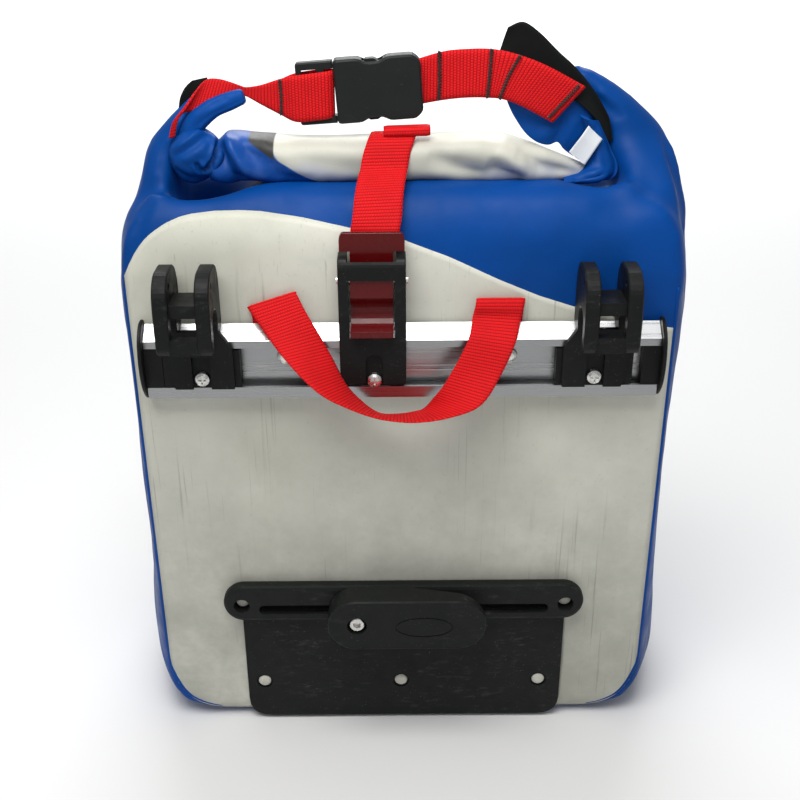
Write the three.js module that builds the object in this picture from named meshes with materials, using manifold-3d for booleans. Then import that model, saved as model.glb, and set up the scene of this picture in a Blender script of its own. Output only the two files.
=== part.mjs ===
// Roll-top pannier bag with a clamp rail, two hooks, a centre lock and a swivelling stay arm.
// Units are millimetres. +Z is up, and -Y is the side that hangs against the rack.
// Drawing frame: y = 0 is the bag's rack side, z = 0 its underside, x = 0 its middle.

import * as THREE from 'three';
import { mergeVertices } from 'three/addons/utils/BufferGeometryUtils.js';
import Module from 'manifold-3d';

const wasm = await Module();
wasm.setup();

// ---- Driving dimensions -------------------------------------------------------------------

const GAP = 0.3; // clearance between touching pieces
const BAG_DEPTH = 155;
const BAG_EDGE_HALF = 158; // half width along the welded front and back edges
const BAG_BULGE_HALF = 172; // half width where the gusset swells
const BAG_TOP = 372; // top of the body, under the roll
const BAG_WALL = 3;
const SEAM_SETBACK = 6; // how far the two panels wrap round into the gusset

const RAIL_HALF = 150;
const RAIL_BACK = -2.2;
const RAIL_FRONT = -12.2;
const RAIL_BOTTOM = 255;
const RAIL_TOP = 299;
const CHANNEL_BOTTOM = 262; // upper edge of the rail's lower lip
const RAIL_WEB_FRONT = -4.6;
const CLAMP_Z = 268.6; // height of the clamp screws
const RAIL_RIVET_X = [-69, 63];
const RAIL_RIVET_Z = 278.5;

const HANDLE_AXIS = { y: -8.6, z: 309 };
const HANDLE_LEAN = 20; // degrees that the hanging handle stands off the bag

const HOOK_X = { left: -117, right: 112 };
const HOOK_FRONT = -39;
const THROAT_FRONT = -32;
const THROAT_BACK = -16;
const THROAT_ROOF = 315;
const EAR_OFFSET = 4; // the ears sit this far outboard of the clamp screw
const EAR_INNER = 7.5;
const EAR_OUTER = 15.8;

const LOCK_LEFT = -36;
const LOCK_RIGHT = 2.2;
const LOCK_FRONT = -19;
const LOCK_TOP = 343;
const LOCK_SCREW_X = -16.2;
const LATCH_PIVOT_Y = -11;
const LATCH_PIVOT_Z = 328;
const LATCH_PIN = 2;
const LATCH_BORE = 2.3;

const TRACK_HALF = 117.5;
const TRACK_Z = 104.4;
const TRACK_RADIUS = 13.4;
const TRACK_FRONT = -12;
const SLOT_Z = 100.3;
const SLOT_HALF = 94.4;
const SLOT_RADIUS = 3.5;
const TRACK_RIVET_X = 105.6;
const TRACK_RIVET_Z = 103.2;
const PLATE_HALF = 107;
const PLATE_BACK = -0.3;
const PLATE_FRONT = -2.3;
const PLATE_RIVETS = { left: -95.5, middle: -2, right: 92 };
const PLATE_RIVET_Z = 33;

const ARM_PIVOT_X = -30;
const ARM_RADIUS = 18.8;
const ARM_REACH = 64; // centre to centre of the arm's round ends
const ARM_FRONT = -30;

const BUCKLE = { x: -22, y: 48, z: 422.5, tilt: 4 };
const STRAP_THICK = 1.8;
const DEPTH_CENTRE = (BAG_DEPTH + HOOK_FRONT) / 2;

// ---- Materials ----------------------------------------------------------------------------

function finish(color, roughness, metalness = 0) {
  return new THREE.MeshStandardMaterial({ color, roughness, metalness });
}

const TARP_WHITE = finish(0xcfcfc4, 0.55);
const TARP_BLUE = finish(0x0a3fa0, 0.5);
const WEBBING_RED = finish(0xcc1418, 0.8);
const WEBBING_BLACK = finish(0x141414, 0.85);
const PLASTIC_BLACK = finish(0x16181a, 0.5);
const PLASTIC_RED = finish(0x5c0a0a, 0.4);
const PLASTIC_WHITE = finish(0xc9c7bb, 0.45);
const BOARD_GREY = finish(0x8c9094, 0.7);
const ALUMINIUM = finish(0xb9bcbe, 0.3, 1);
const STEEL = finish(0xc8cacc, 0.25, 1);
const LABEL_WHITE = finish(0xe2e2e0, 0.8);

// ---- Solid helpers ------------------------------------------------------------------------

function toSolid(geometry) {
  const bare = geometry.clone();
  bare.deleteAttribute('normal');
  bare.deleteAttribute('uv');
  const merged = mergeVertices(bare, 1e-4);
  const mesh = new wasm.Mesh({
    numProp: 3,
    vertProperties: merged.attributes.position.array,
    triVerts: new Uint32Array(merged.index.array),
  });
  return new wasm.Manifold(mesh);
}

function toGeometry(solid) {
  const mesh = solid.getMesh();
  const geometry = new THREE.BufferGeometry();
  geometry.setAttribute('position', new THREE.BufferAttribute(mesh.vertProperties.slice(), 3));
  geometry.setIndex(new THREE.BufferAttribute(mesh.triVerts.slice(), 1));
  geometry.computeVertexNormals();
  return geometry;
}

function join(...solids) {
  return solids.reduce((sum, solid) => sum.add(solid));
}

function cut(body, ...tools) {
  return tools.reduce((rest, tool) => rest.subtract(tool), body);
}

function common(...solids) {
  return solids.reduce((rest, solid) => rest.intersect(solid));
}

// A closed outline through corners given as [u, v, corner radius].
function outline(corners) {
  const shape = new THREE.Shape();
  const count = corners.length;
  corners.forEach(([u, v, radius = 0], i) => {
    const corner = new THREE.Vector2(u, v);
    const before = new THREE.Vector2(...corners.at(i - 1)).sub(corner);
    const after = new THREE.Vector2(...corners[(i + 1) % count]).sub(corner);
    const reach = Math.min(radius, before.length() * 0.49, after.length() * 0.49);
    const start = corner.clone().addScaledVector(before.normalize(), reach);
    const end = corner.clone().addScaledVector(after.normalize(), reach);
    if (i === 0) shape.moveTo(start.x, start.y);
    else shape.lineTo(start.x, start.y);
    if (radius > 0) shape.quadraticCurveTo(u, v, end.x, end.y);
  });
  shape.closePath();
  return shape;
}

function stadium(u, v, reach, radius) {
  const shape = new THREE.Shape();
  shape.absarc(u + reach, v, radius, -Math.PI / 2, Math.PI / 2, false);
  shape.absarc(u, v, radius, Math.PI / 2, Math.PI * 1.5, false);
  shape.closePath();
  return shape;
}

const BASES = {
  x: [new THREE.Vector3(0, 1, 0), new THREE.Vector3(0, 0, 1), new THREE.Vector3(1, 0, 0)],
  y: [new THREE.Vector3(1, 0, 0), new THREE.Vector3(0, 0, 1), new THREE.Vector3(0, -1, 0)],
  z: [new THREE.Vector3(1, 0, 0), new THREE.Vector3(0, 1, 0), new THREE.Vector3(0, 0, 1)],
};

// Extrudes a shape along an axis: x takes (y, z) outlines, y takes (x, z), z takes (x, y).
function prism(axis, shape, from, to, { bevel = 0, segments = 4, bevelSegments = 1 } = {}) {
  const geometry = new THREE.ExtrudeGeometry(shape, {
    depth: to - from - 2 * bevel,
    curveSegments: segments,
    bevelEnabled: bevel > 0,
    bevelThickness: bevel,
    bevelSize: bevel,
    bevelOffset: -bevel,
    bevelSegments,
  });
  const start = axis === 'y' ? -to : from;
  geometry.translate(0, 0, start + bevel);
  geometry.applyMatrix4(new THREE.Matrix4().makeBasis(...BASES[axis]));
  return toSolid(geometry);
}

function block(x0, x1, y0, y1, z0, z1) {
  const geometry = new THREE.BoxGeometry(x1 - x0, y1 - y0, z1 - z0);
  geometry.translate((x0 + x1) / 2, (y0 + y1) / 2, (z0 + z1) / 2);
  return toSolid(geometry);
}

// A round bar along Y, from y0 to y1, at (x, z).
function rod(x, z, radius, y0, y1, sides = 16) {
  const geometry = new THREE.CylinderGeometry(radius, radius, y1 - y0, sides);
  geometry.translate(x, (y0 + y1) / 2, z);
  return toSolid(geometry);
}

// A turned piece about an axis along Y: profile points are [radius, y], lowest y first.
function turned(x, z, profile, sides = 18) {
  const geometry = new THREE.LatheGeometry(profile.map(([r, y]) => new THREE.Vector2(r, y)), sides);
  geometry.translate(x, 0, z);
  return toSolid(geometry);
}

function piece(name, solid, material) {
  const mesh = new THREE.Mesh(toGeometry(solid), material);
  mesh.name = name;
  return mesh;
}

// ---- Bag ----------------------------------------------------------------------------------

// The stiff corners of the mouth stand up behind the roll: corners from the roll outwards on the
// left, and from the side seam inwards on the right.
const SHOULDER_LEFT = [[-113, 392, 6], [-125, 416, 3], [-136, 405, 6], [-150, 390, 5], [-154, 376, 4]];
const SHOULDER_RIGHT = [[158, 388, 8], [134, 411, 8], [115, 429, 8], [101, 433, 4], [117, 393, 6]];

function bagOutline() {
  return outline([
    [-BAG_BULGE_HALF, 0, 45], [BAG_BULGE_HALF, 0, 45], [BAG_BULGE_HALF, 250, 30], [176, 315, 12],
    [168, 350, 10], ...SHOULDER_RIGHT, [106, BAG_TOP, 4],
    [-106, BAG_TOP, 4], ...SHOULDER_LEFT,
    [-168, 350, 10], [-176, 315, 12], [-BAG_BULGE_HALF, 250, 30],
  ]);
}

function cavityOutline() {
  const side = BAG_BULGE_HALF - BAG_WALL;
  const top = BAG_TOP - BAG_WALL;
  return outline([
    [-side, BAG_WALL, 42], [side, BAG_WALL, 42], [side, 300, 30], [150, top, 10],
    [-150, top, 10], [-side, 300, 30],
  ]);
}

function bagProfile(inset) {
  const back = BAG_DEPTH - inset;
  const front = [[inset, inset, 17], [back, inset, 17], [back, 338, 20]];
  const crown = inset > 0
    ? [[104, BAG_TOP - inset, 14], [22, BAG_TOP - inset, 18]]
    : [[118, 398, 12], [104, 440, 6], [60, 440, 4], [58, BAG_TOP + 0.4, 2], [20, BAG_TOP, 14]];
  return outline([...front, ...crown, [inset, 345, 20]]);
}

function bagPlan(inset) {
  const edge = BAG_EDGE_HALF - inset;
  const bulge = BAG_BULGE_HALF + 12 - inset;
  const shape = new THREE.Shape();
  shape.moveTo(-edge, inset);
  shape.lineTo(edge, inset);
  shape.quadraticCurveTo(bulge + 6, BAG_DEPTH / 2, edge, BAG_DEPTH - inset);
  shape.lineTo(-edge, BAG_DEPTH - inset);
  shape.quadraticCurveTo(-bulge - 6, BAG_DEPTH / 2, -edge, inset);
  return shape;
}

function panelHoles() {
  const shank = 2.3;
  const holes = RAIL_RIVET_X.map((x) => rod(x, RAIL_RIVET_Z, shank, -1, 9));
  Object.values(PLATE_RIVETS).forEach((x) => holes.push(rod(x, PLATE_RIVET_Z, shank, -1, 9)));
  [-1, 1].forEach((side) => holes.push(rod(side * TRACK_RIVET_X, TRACK_RIVET_Z, shank, -1, 9)));
  return join(...holes);
}

// The body is the common part of its front, side and top views, less the same for the cavity.
function bagBody() {
  const reach = 190;
  const height = 450;
  const outer = common(
    prism('y', bagOutline(), 0, BAG_DEPTH, { segments: 5 }),
    prism('x', bagProfile(0), -reach, reach, { segments: 5 }),
    prism('z', bagPlan(0), -1, height, { segments: 8 }),
  );
  const inner = common(
    prism('y', cavityOutline(), BAG_WALL, BAG_DEPTH - BAG_WALL, { segments: 5 }),
    prism('x', bagProfile(BAG_WALL), -reach, reach, { segments: 5 }),
    prism('z', bagPlan(BAG_WALL), -1, height, { segments: 8 }),
  );
  const mouth = block(-98, 98, 31.5, 62.5, 340, 380);
  return cut(outer, inner, mouth);
}

function bagPieces() {
  const body = bagBody();
  const seam = GAP / 2;
  const backSeam = BAG_DEPTH - SEAM_SETBACK;
  const slice = (y0, y1) => common(body, block(-200, 200, y0, y1, -5, 450));
  const front = slice(-5, SEAM_SETBACK - seam);
  const back = slice(backSeam + seam, BAG_DEPTH + 5);
  const gusset = slice(SEAM_SETBACK + seam, backSeam - seam);
  const board = cut(block(-140, 140, BAG_WALL + GAP, 5.6, 24, 322), panelHoles());
  return [
    piece('front_panel', cut(front, panelHoles()), TARP_WHITE),
    piece('back_panel', back, TARP_WHITE),
    piece('side_gusset', gusset, TARP_BLUE),
    piece('inner_stiffener', board, BOARD_GREY),
  ];
}

// ---- Rolled mouth -------------------------------------------------------------------------

function rollSection() {
  const base = BAG_TOP + 0.5;
  return outline([[30, base, 9], [64, base, 9], [64, 399, 12], [30, 399, 12]]);
}

function roll() {
  const base = BAG_TOP;
  const silhouette = outline([
    [-102, base, 2], [103, base, 2], [105, 379, 3], [80, 391, 10], [56, 396, 10],
    [-58, 398.5, 10], [-102, 396, 8],
  ]);
  return common(
    prism('x', rollSection(), -110, 110, { segments: 5 }),
    prism('y', silhouette, 20, 70, { segments: 3 }),
  );
}

// The left end of the rolled mouth: a bundled knot of cloth and the tube of cloth that leaves it.
function leftRollEnd() {
  const ball = new THREE.SphereGeometry(1, 20, 14);
  ball.scale(15, 13.5, 14);
  ball.translate(-119, 42, 387);
  const spine = new THREE.CatmullRomCurve3([
    new THREE.Vector3(-124, 43, 393), new THREE.Vector3(-124, 45, 405),
    new THREE.Vector3(-114, 47, 415), new THREE.Vector3(-93, 49, 424),
  ]);
  const section = new THREE.Shape();
  section.absarc(0, 0, 7, 0, Math.PI * 2, false);
  const tube = new THREE.ExtrudeGeometry(section, { steps: 10, curveSegments: 7, extrudePath: spine });
  return join(toSolid(ball), toSolid(tube));
}

function rightRollEnd() {
  const flap = outline([
    [58, 437.5, 2], [70, 437.2, 2], [107.5, 420.2, 3], [118, 404.5, 3], [120.5, 393, 3], [108, 384, 4],
    [95, 391, 3], [84, 395, 3], [74, 400, 6], [63, 413, 6],
  ]);
  return prism('y', flap, 50, 57.4, { segments: 3 });
}

function mouthBands() {
  const left = outline([[-129, 411], [-125, 425, 3], [-116, 432, 3], [-112, 430], [-119, 417]]);
  const right = outline([
    [57, 443, 2], [62, 458, 3], [73, 459, 4], [85, 450, 4], [99, 435.5], [109.5, 425.5], [121.5, 407],
    [119.8, 405.6], [109, 422.4], [70.4, 438.9], [58, 439.2],
  ]);
  return [
    piece('left_mouth_band', prism('y', left, 54.6, 57.4, { segments: 3 }), WEBBING_BLACK),
    piece('right_mouth_band', prism('y', right, 53, 57.4, { segments: 3 }), WEBBING_BLACK),
  ];
}

function label() {
  return prism('y', outline([[110.5, 400], [118, 393.4], [106.6, 380.6], [97.5, 386.5]]), 48.6, 49.5);
}

function rollPieces() {
  return [
    piece('roll_closure', roll(), TARP_WHITE),
    piece('left_roll_end', leftRollEnd(), TARP_BLUE),
    piece('right_roll_end', rightRollEnd(), TARP_BLUE),
    ...mouthBands(),
    piece('care_label', label(), LABEL_WHITE),
  ];
}

// ---- Closure straps and side-release buckle -----------------------------------------------
// The buckle is drawn about its own centre: u to the right, w up, inside a tilted group.

function buckleFemale() {
  const shell = outline([
    [-15.3, -18, 2], [-1, -18, 2], [3, -15.6, 2], [11, -15.6, 2], [15, -18, 2], [30, -18, 2],
    [34.3, -14, 2], [34.3, 14, 2], [30, 18, 2], [15, 18, 2], [11, 15.6, 2], [3, 15.6, 2],
    [-1, 18, 2], [-15.3, 18, 2],
  ]);
  const body = prism('y', shell, -6, 6, { bevel: 1.2, segments: 2 });
  const cavity = block(-20, 17, -3.8, 3.8, -16.4, 16.4);
  const windows = block(1, 13, -3.8, 3.8, -20, 20);
  const strapSlot = block(26, 36, -1.6, 1.6, -13.4, 13.4);
  return cut(body, cavity, windows, strapSlot);
}

function buckleMale() {
  const frame = outline([[-37, -17.6, 2], [-15.7, -17.6], [-15.7, 17.6], [-37, 17.6, 2]]);
  const base = block(-16, -9, -3.4, 3.4, -16, 16);
  const tongue = block(-9.5, 16, -3.2, 3.2, -2.5, 2.5);
  const webbingSlot = block(-34, -25, -9, 9, -13.4, 13.4);
  const tailSlot = block(-20.8, -15.2, -9, 9, -13.4, 13.4);
  return cut(join(prism('y', frame, -3.6, 3.6, { bevel: 0.8 }), base, tongue), webbingSlot, tailSlot);
}

function prong(side) {
  const arm = [
    [-8.6, 11.5], [2, 10.6, 1], [11, 10.6, 1], [11, 15, 1], [8, 17.2, 1], [3, 17.2, 1],
    [1.4, 14.6, 1], [-8.6, 15],
  ];
  const corners = arm.map(([u, w, r = 0]) => [u, side * w, r]);
  return prism('y', outline(side > 0 ? corners : corners.reverse()), -3.2, 3.2, { segments: 3 });
}

// The webbing's fold round the middle bar of the male half, seen from above.
function strapLoop() {
  const ribbon = new THREE.Shape();
  const bar = -22.7;
  const tail = -48;
  const stitch = -41; // where the two layers are sewn together
  const inner = 4.2;
  const outer = inner + STRAP_THICK;
  ribbon.moveTo(tail, -outer);
  ribbon.lineTo(bar, -outer);
  ribbon.absarc(bar, 0, outer, -Math.PI / 2, Math.PI / 2, false);
  ribbon.lineTo(tail, outer);
  ribbon.closePath();
  const eye = new THREE.Path();
  eye.moveTo(stitch, -inner);
  eye.lineTo(stitch, inner);
  eye.lineTo(bar, inner);
  eye.absarc(bar, 0, inner, Math.PI / 2, -Math.PI / 2, true);
  eye.closePath();
  ribbon.holes.push(eye);
  return prism('z', ribbon, -13, 13, { segments: 5 });
}

function leftClosureStrap() {
  const taper = outline([[-48, -9], [-41, -13], [-17, -13], [-17, 13], [-41, 13], [-48, 11]]);
  const neck = outline([[-66.5, 5], [-66.5, -1.5], [-47.8, -9.5], [-47.8, 11.5]]);
  return join(
    common(strapLoop(), prism('y', taper, -8, 8)),
    prism('y', neck, -3, 3),
  );
}

function rightClosureStrap() {
  const bend = outline([
    [5, 412.6], [12, 412.6], [54, 412.4, 4], [62, 414, 3], [88, 400], [107, 419], [70, 438, 5],
    [54, 439.5, 5], [12, 437], [5, 437],
  ]);
  return prism('y', bend, 47.2, 47.2 + STRAP_THICK, { segments: 3 });
}

function bucklePieces() {
  const group = new THREE.Group();
  group.position.set(BUCKLE.x, BUCKLE.y, BUCKLE.z);
  group.rotation.y = -THREE.MathUtils.degToRad(BUCKLE.tilt);
  group.add(
    piece('buckle_female', buckleFemale(), PLASTIC_BLACK),
    piece('buckle_male', buckleMale(), PLASTIC_BLACK),
    piece('buckle_prong_upper', prong(1), PLASTIC_BLACK),
    piece('buckle_prong_lower', prong(-1), PLASTIC_BLACK),
    piece('closure_strap_left', leftClosureStrap(), WEBBING_RED),
  );
  return [group, piece('closure_strap_right', rightClosureStrap(), WEBBING_RED)];
}

// ---- Rail ---------------------------------------------------------------------------------

function railProfile() {
  const lip = 2;
  const inner = RAIL_FRONT + lip;
  return outline([
    [RAIL_BACK, RAIL_BOTTOM], [RAIL_BACK, RAIL_TOP, 0.5], [RAIL_FRONT, 291.5, 0.5], [RAIL_FRONT, 287],
    [inner, 287], [inner, 290.2], [RAIL_WEB_FRONT, 294.2], [RAIL_WEB_FRONT, 273.4], [-4, 273], [-4, 272.2],
    [RAIL_WEB_FRONT, 271.8], [RAIL_WEB_FRONT, 270.4], [-4, 270], [-4, 269.2], [RAIL_WEB_FRONT, 268.8],
    [RAIL_WEB_FRONT, 257.5], [inner, 257.5], [inner, CHANNEL_BOTTOM], [RAIL_FRONT, CHANNEL_BOTTOM],
    [RAIL_FRONT, RAIL_BOTTOM],
  ].reverse());
}

function rail() {
  const holes = RAIL_RIVET_X.map((x) => rod(x, RAIL_RIVET_Z, 2.3, -9, 2));
  return cut(prism('x', railProfile(), -RAIL_HALF, RAIL_HALF, { segments: 2 }), ...holes);
}

function railCap(side) {
  const shape = outline([
    [-1, 301.5, 2], [-1, 252.5, 2], [-8, 253, 5], [-17, 263, 8], [-20, 278, 10], [-17, 294, 8],
    [-8, 301.5, 5],
  ]);
  const plate = prism('x', shape, RAIL_HALF + GAP, RAIL_HALF + 2.5, { bevel: 0.5, segments: 4 });
  const plug = block(140, RAIL_HALF + 1, -11.9, RAIL_WEB_FRONT - GAP, CHANNEL_BOTTOM + GAP, 286.7);
  const cap = join(plate, plug);
  return side > 0 ? cap : cap.scale([-1, 1, 1]);
}

// A set rivet: dome, shank through the wall and flattened tail inside the board.
function rivet(x, z, head, seat, dome, shankTo = 6) {
  return turned(x, z, [
    [0, seat - dome], [head * 0.55, seat - dome * 0.86], [head * 0.88, seat - dome * 0.5], [head, seat],
    [2, seat], [2, shankTo], [4, shankTo], [3.4, shankTo + 1.6], [0, shankTo + 1.9],
  ]);
}

function handleAnchor(x0, x1, rivetX) {
  const tail = block(x0, x1, RAIL_BACK + 0.25, -0.25, 264, 306);
  return cut(tail, rod(rivetX, RAIL_RIVET_Z, 2.3, -5, 5));
}

function carryHandle() {
  const drop = (z) => z - HANDLE_AXIS.z;
  const edge = [
    [-88, 308.5], [-84, 301], [-65, 283], [-50, 269], [-31, 257, 6], [-16, 250, 6], [1, 247.5, 6],
    [16, 248, 5], [27, 251, 5], [47, 258, 8], [63, 284, 10], [69, 303], [71, 309], [42, 309],
    [40, 303], [33, 290, 4],
    [24, 270, 4], [19, 263, 4], [10, 255.5, 4], [1, 253.5, 4], [-18, 255.5, 4], [-31, 268, 5], [-42, 285, 5],
    [-52, 302], [-59, 309],
  ];
  const band = outline(edge.map(([x, z, r = 0]) => [x, drop(z), r]).reverse());
  return prism('y', band, -STRAP_THICK / 2, STRAP_THICK / 2, { segments: 3 });
}

function railPieces() {
  const swing = new THREE.Group();
  swing.position.set(0, HANDLE_AXIS.y, HANDLE_AXIS.z);
  swing.rotation.x = -THREE.MathUtils.degToRad(HANDLE_LEAN);
  swing.add(piece('carry_handle', carryHandle(), WEBBING_RED));
  const [leftX, rightX] = RAIL_RIVET_X;
  const dome = [4.8, RAIL_WEB_FRONT - 0.2, 2.6];
  return [
    piece('rail', rail(), ALUMINIUM),
    piece('rail_cap_left', railCap(-1), PLASTIC_BLACK),
    piece('rail_cap_right', railCap(1), PLASTIC_BLACK),
    piece('rail_rivet_left', rivet(leftX, RAIL_RIVET_Z, ...dome), STEEL),
    piece('rail_rivet_right', rivet(rightX, RAIL_RIVET_Z, ...dome), STEEL),
    piece('handle_anchor_left', handleAnchor(-87, -59, leftX), WEBBING_RED),
    piece('handle_anchor_right', handleAnchor(42, 70, rightX), WEBBING_RED),
    swing,
  ];
}

// ---- Clamp parts shared by the hooks and the lock -----------------------------------------

function clampFoot(x0, x1, screwX) {
  const foot = block(x0, x1, RAIL_FRONT - 0.6, RAIL_WEB_FRONT - 0.5, 263, 286);
  const nutPocket = block(screwX - 9.5, screwX + 9.5, -10.3, -4, 255, 271.6);
  return cut(foot, nutPocket);
}

function clampNut(x) {
  const plate = block(x - 9, x + 9, -9.9, -6.9, 258, 270.9);
  return cut(plate, rod(x, CLAMP_Z, 2.5, -12, -5));
}

function crossRecess(x, z, y0, y1) {
  const half = 0.55;
  const reach = 2.5;
  const across = block(x - reach, x + reach, y0, y1, z - half, z + half);
  const upright = block(x - half, x + half, y0, y1, z - reach, z + reach);
  return join(across, upright);
}

function clampScrew(x, seat) {
  const screw = turned(x, CLAMP_Z, [
    [0, seat - 2.9], [2.6, seat - 2.6], [4.2, seat - 1.6], [4.7, seat], [2.2, seat], [2.2, -6], [0, -5.6],
  ], 20);
  return cut(screw, crossRecess(x, CLAMP_Z, seat - 4, seat - 1.4));
}

// ---- Hooks --------------------------------------------------------------------------------

function cheekProfile() {
  return outline([
    [-1.6, 300.6], [-1.6, 329, 6], [-8, 338.5, 6], [-28, 338.5, 8], [-37, 331, 6], [HOOK_FRONT, 316, 8],
    [HOOK_FRONT, 297, 2], [-36, 293, 1], [THROAT_FRONT, 293, 1], [THROAT_FRONT, THROAT_ROOF, 9],
    [THROAT_BACK, THROAT_ROOF, 9], [THROAT_BACK, 293], [RAIL_FRONT - 0.4, 293],
  ]);
}

function hook(x, outboard) {
  const middle = x + outboard * EAR_OFFSET;
  const ears = [-1, 1].map((side) => {
    const from = middle + (side > 0 ? EAR_INNER : -EAR_OUTER);
    const ear = prism('x', cheekProfile(), from, from + EAR_OUTER - EAR_INNER, { bevel: 0.7, segments: 4 });
    const eye = new THREE.CylinderGeometry(2, 2, 30, 12).rotateZ(Math.PI / 2);
    eye.translate(from, -27, 331);
    return cut(ear, toSolid(eye));
  });
  const inner = [middle - EAR_INNER - 1, middle + EAR_INNER + 1];
  const roof = block(...inner, -35, -14, THROAT_ROOF, 322.5);
  const web = block(...inner, HOOK_FRONT + 1, THROAT_FRONT, 293.6, 303);
  const plateCorners = [
    [-19, 262.6, 1], [16, 262.6, 1], [19.6, 293], [19.6, 299], [-11.6, 299], [-19, 288, 3],
  ].map(([u, z, r = 0]) => [x + outboard * u, z, r]);
  const plateShape = outline(outboard > 0 ? plateCorners : plateCorners.reverse());
  const plate = prism('y', plateShape, THROAT_BACK, RAIL_FRONT - 0.4, { segments: 3 });
  const foot = clampFoot(x - 22.5, x + 22.5, x);
  const headSlot = block(x - 5.3, x + 5.3, -18, -13.5, 262, 283);
  const bore = rod(x, CLAMP_Z, 2.6, -20, -3);
  return cut(join(...ears, roof, web, plate, foot), headSlot, bore);
}

function hookPieces() {
  return Object.entries(HOOK_X).flatMap(([side, x]) => [
    piece(`hook_${side}`, hook(x, Math.sign(x)), PLASTIC_BLACK),
    piece(`hook_screw_${side}`, clampScrew(x, -13.8), STEEL),
    piece(`hook_nut_${side}`, clampNut(x), STEEL),
  ]);
}

// ---- Centre lock --------------------------------------------------------------------------

// A closed bar along X on the latch's pivot axis, for the pin and for the bores round it.
function pivotBar(radius, from, to) {
  const geometry = new THREE.CylinderGeometry(radius, radius, to - from, 14).rotateZ(Math.PI / 2);
  geometry.translate((from + to) / 2, LATCH_PIVOT_Y, LATCH_PIVOT_Z);
  return toSolid(geometry);
}

function lockHousing() {
  const section = outline([
    [LOCK_FRONT, 266.5, 1], [LOCK_FRONT, 339, 3], [-16, LOCK_TOP, 3], [-4, LOCK_TOP, 1], [-1.6, 341, 2],
    [-1.6, 300.6], [RAIL_FRONT - 0.4, 293], [RAIL_FRONT - 0.4, 266.5],
  ]);
  const shell = prism('x', section, LOCK_LEFT, LOCK_RIGHT, { bevel: 0.6, segments: 3 });
  const cavity = block(-31, -3.2, -17.5, 3, 292, 350);
  const windowCut = block(-30, -4.2, -22, -15, 295.5, 330.5);
  const screwSlot = prism('y', outline([
    [-21.2, 262], [-11.2, 262], [-11.2, 285.3, 4.6], [-21.2, 285.3, 4.6],
  ]), -21, -16.2, { segments: 4 });
  const pinBore = pivotBar(LATCH_BORE, LOCK_LEFT - 5, LOCK_RIGHT + 5);
  const bore = rod(LOCK_SCREW_X, CLAMP_Z, 2.6, -24, -3);
  const foot = clampFoot(-34.5, 1, LOCK_SCREW_X);
  return cut(join(shell, foot), cavity, windowCut, screwSlot, pinBore, bore);
}

// The latch lever: a thumb plate above the pivot, a sloping face and the lip that holds the tube.
function lockPawl() {
  const section = outline([
    [-6.8, 355.5, 1], [-9.8, 355.5, 1], [-9.8, 334, 2], [-17.4, 331, 1], [-17.4, 319.5, 1], [-13.2, 314, 3],
    [-13.2, 307, 3], [-17, 303, 2], [-26.6, 303, 1], [-26.6, 298.6, 1], [-14, 298.2, 2], [-7.6, 312, 4],
    [-6.4, 322, 4], [-6.4, 334, 2],
  ].reverse());
  const front = outline([
    [-29.2, 297], [-5, 297], [-5, 344.6], [1.6, 344.6], [1.6, 356, 5],
    [-35.2, 356, 5], [-35.2, 344.6], [-29.2, 344.6],
  ]);
  const lever = common(
    prism('x', section, -40, 5, { segments: 4 }),
    prism('y', front, -30, 0, { segments: 4 }),
  );
  const bore = pivotBar(LATCH_BORE, LOCK_LEFT - 5, LOCK_RIGHT + 5);
  const springBay = block(-20.6, -13, -16, -2, 322, 334);
  return cut(lever, bore, springBay);
}

// A coil of round wire wound on the pivot pin.
class CoilCurve extends THREE.Curve {
  constructor(start, pitch, turns, radius) {
    super();
    Object.assign(this, { start, pitch, turns, radius });
  }

  getPoint(t) {
    const angle = t * this.turns * Math.PI * 2;
    return new THREE.Vector3(
      this.start + this.pitch * this.turns * t,
      LATCH_PIVOT_Y + this.radius * Math.cos(angle),
      LATCH_PIVOT_Z + this.radius * Math.sin(angle),
    );
  }
}

function latchSpring() {
  const wire = new THREE.Shape();
  wire.absarc(0, 0, 0.5, 0, Math.PI * 2, false);
  const coil = new CoilCurve(-19.6, 1.5, 4, 3);
  return toSolid(new THREE.ExtrudeGeometry(wire, { steps: 64, curveSegments: 3, extrudePath: coil }));
}

// The pull strap leaves the lever, climbs over the bag's crown and folds back on the roll.
function pullStrap() {
  const half = 0.75;
  const route = [
    [-5.2, 345.5], [-5, 353], [-2.6, 360], [3, 368.5], [11, 374.6], [22, 376.8], [27.4, 381], [28, 390],
    [29.2, 397], [35, 401], [42, 401.6],
  ];
  const normals = route.map((point, i) => {
    const a = new THREE.Vector2(...route[Math.max(i - 1, 0)]);
    const b = new THREE.Vector2(...route[Math.min(i + 1, route.length - 1)]);
    const along = b.sub(a).normalize();
    return [along.y * half, -along.x * half];
  });
  const near = route.map(([y, z], i) => [y + normals[i][0], z + normals[i][1]]);
  const far = route.map(([y, z], i) => [y - normals[i][0], z - normals[i][1]]);
  const ribbon = toGeometry(prism('x', outline([...near, ...far.reverse()]), -29, -1));
  const lean = 0.33; // sideways drift for each millimetre of climb
  ribbon.applyMatrix4(new THREE.Matrix4().set(1, 0, lean, -lean * 354, 0, 1, 0, 0, 0, 0, 1, 0, 0, 0, 0, 1));
  return toSolid(ribbon);
}

function lockPieces() {
  return [
    piece('lock_housing', lockHousing(), PLASTIC_BLACK),
    piece('lock_pawl', lockPawl(), PLASTIC_RED),
    piece('lock_pin', pivotBar(LATCH_PIN, LOCK_LEFT - 1.3, LOCK_RIGHT + 1.3), STEEL),
    piece('lock_spring', latchSpring(), STEEL),
    piece('lock_screw', clampScrew(LOCK_SCREW_X, -16.5), STEEL),
    piece('lock_nut', clampNut(LOCK_SCREW_X), STEEL),
    piece('pull_strap', pullStrap(), WEBBING_RED),
  ];
}

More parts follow.
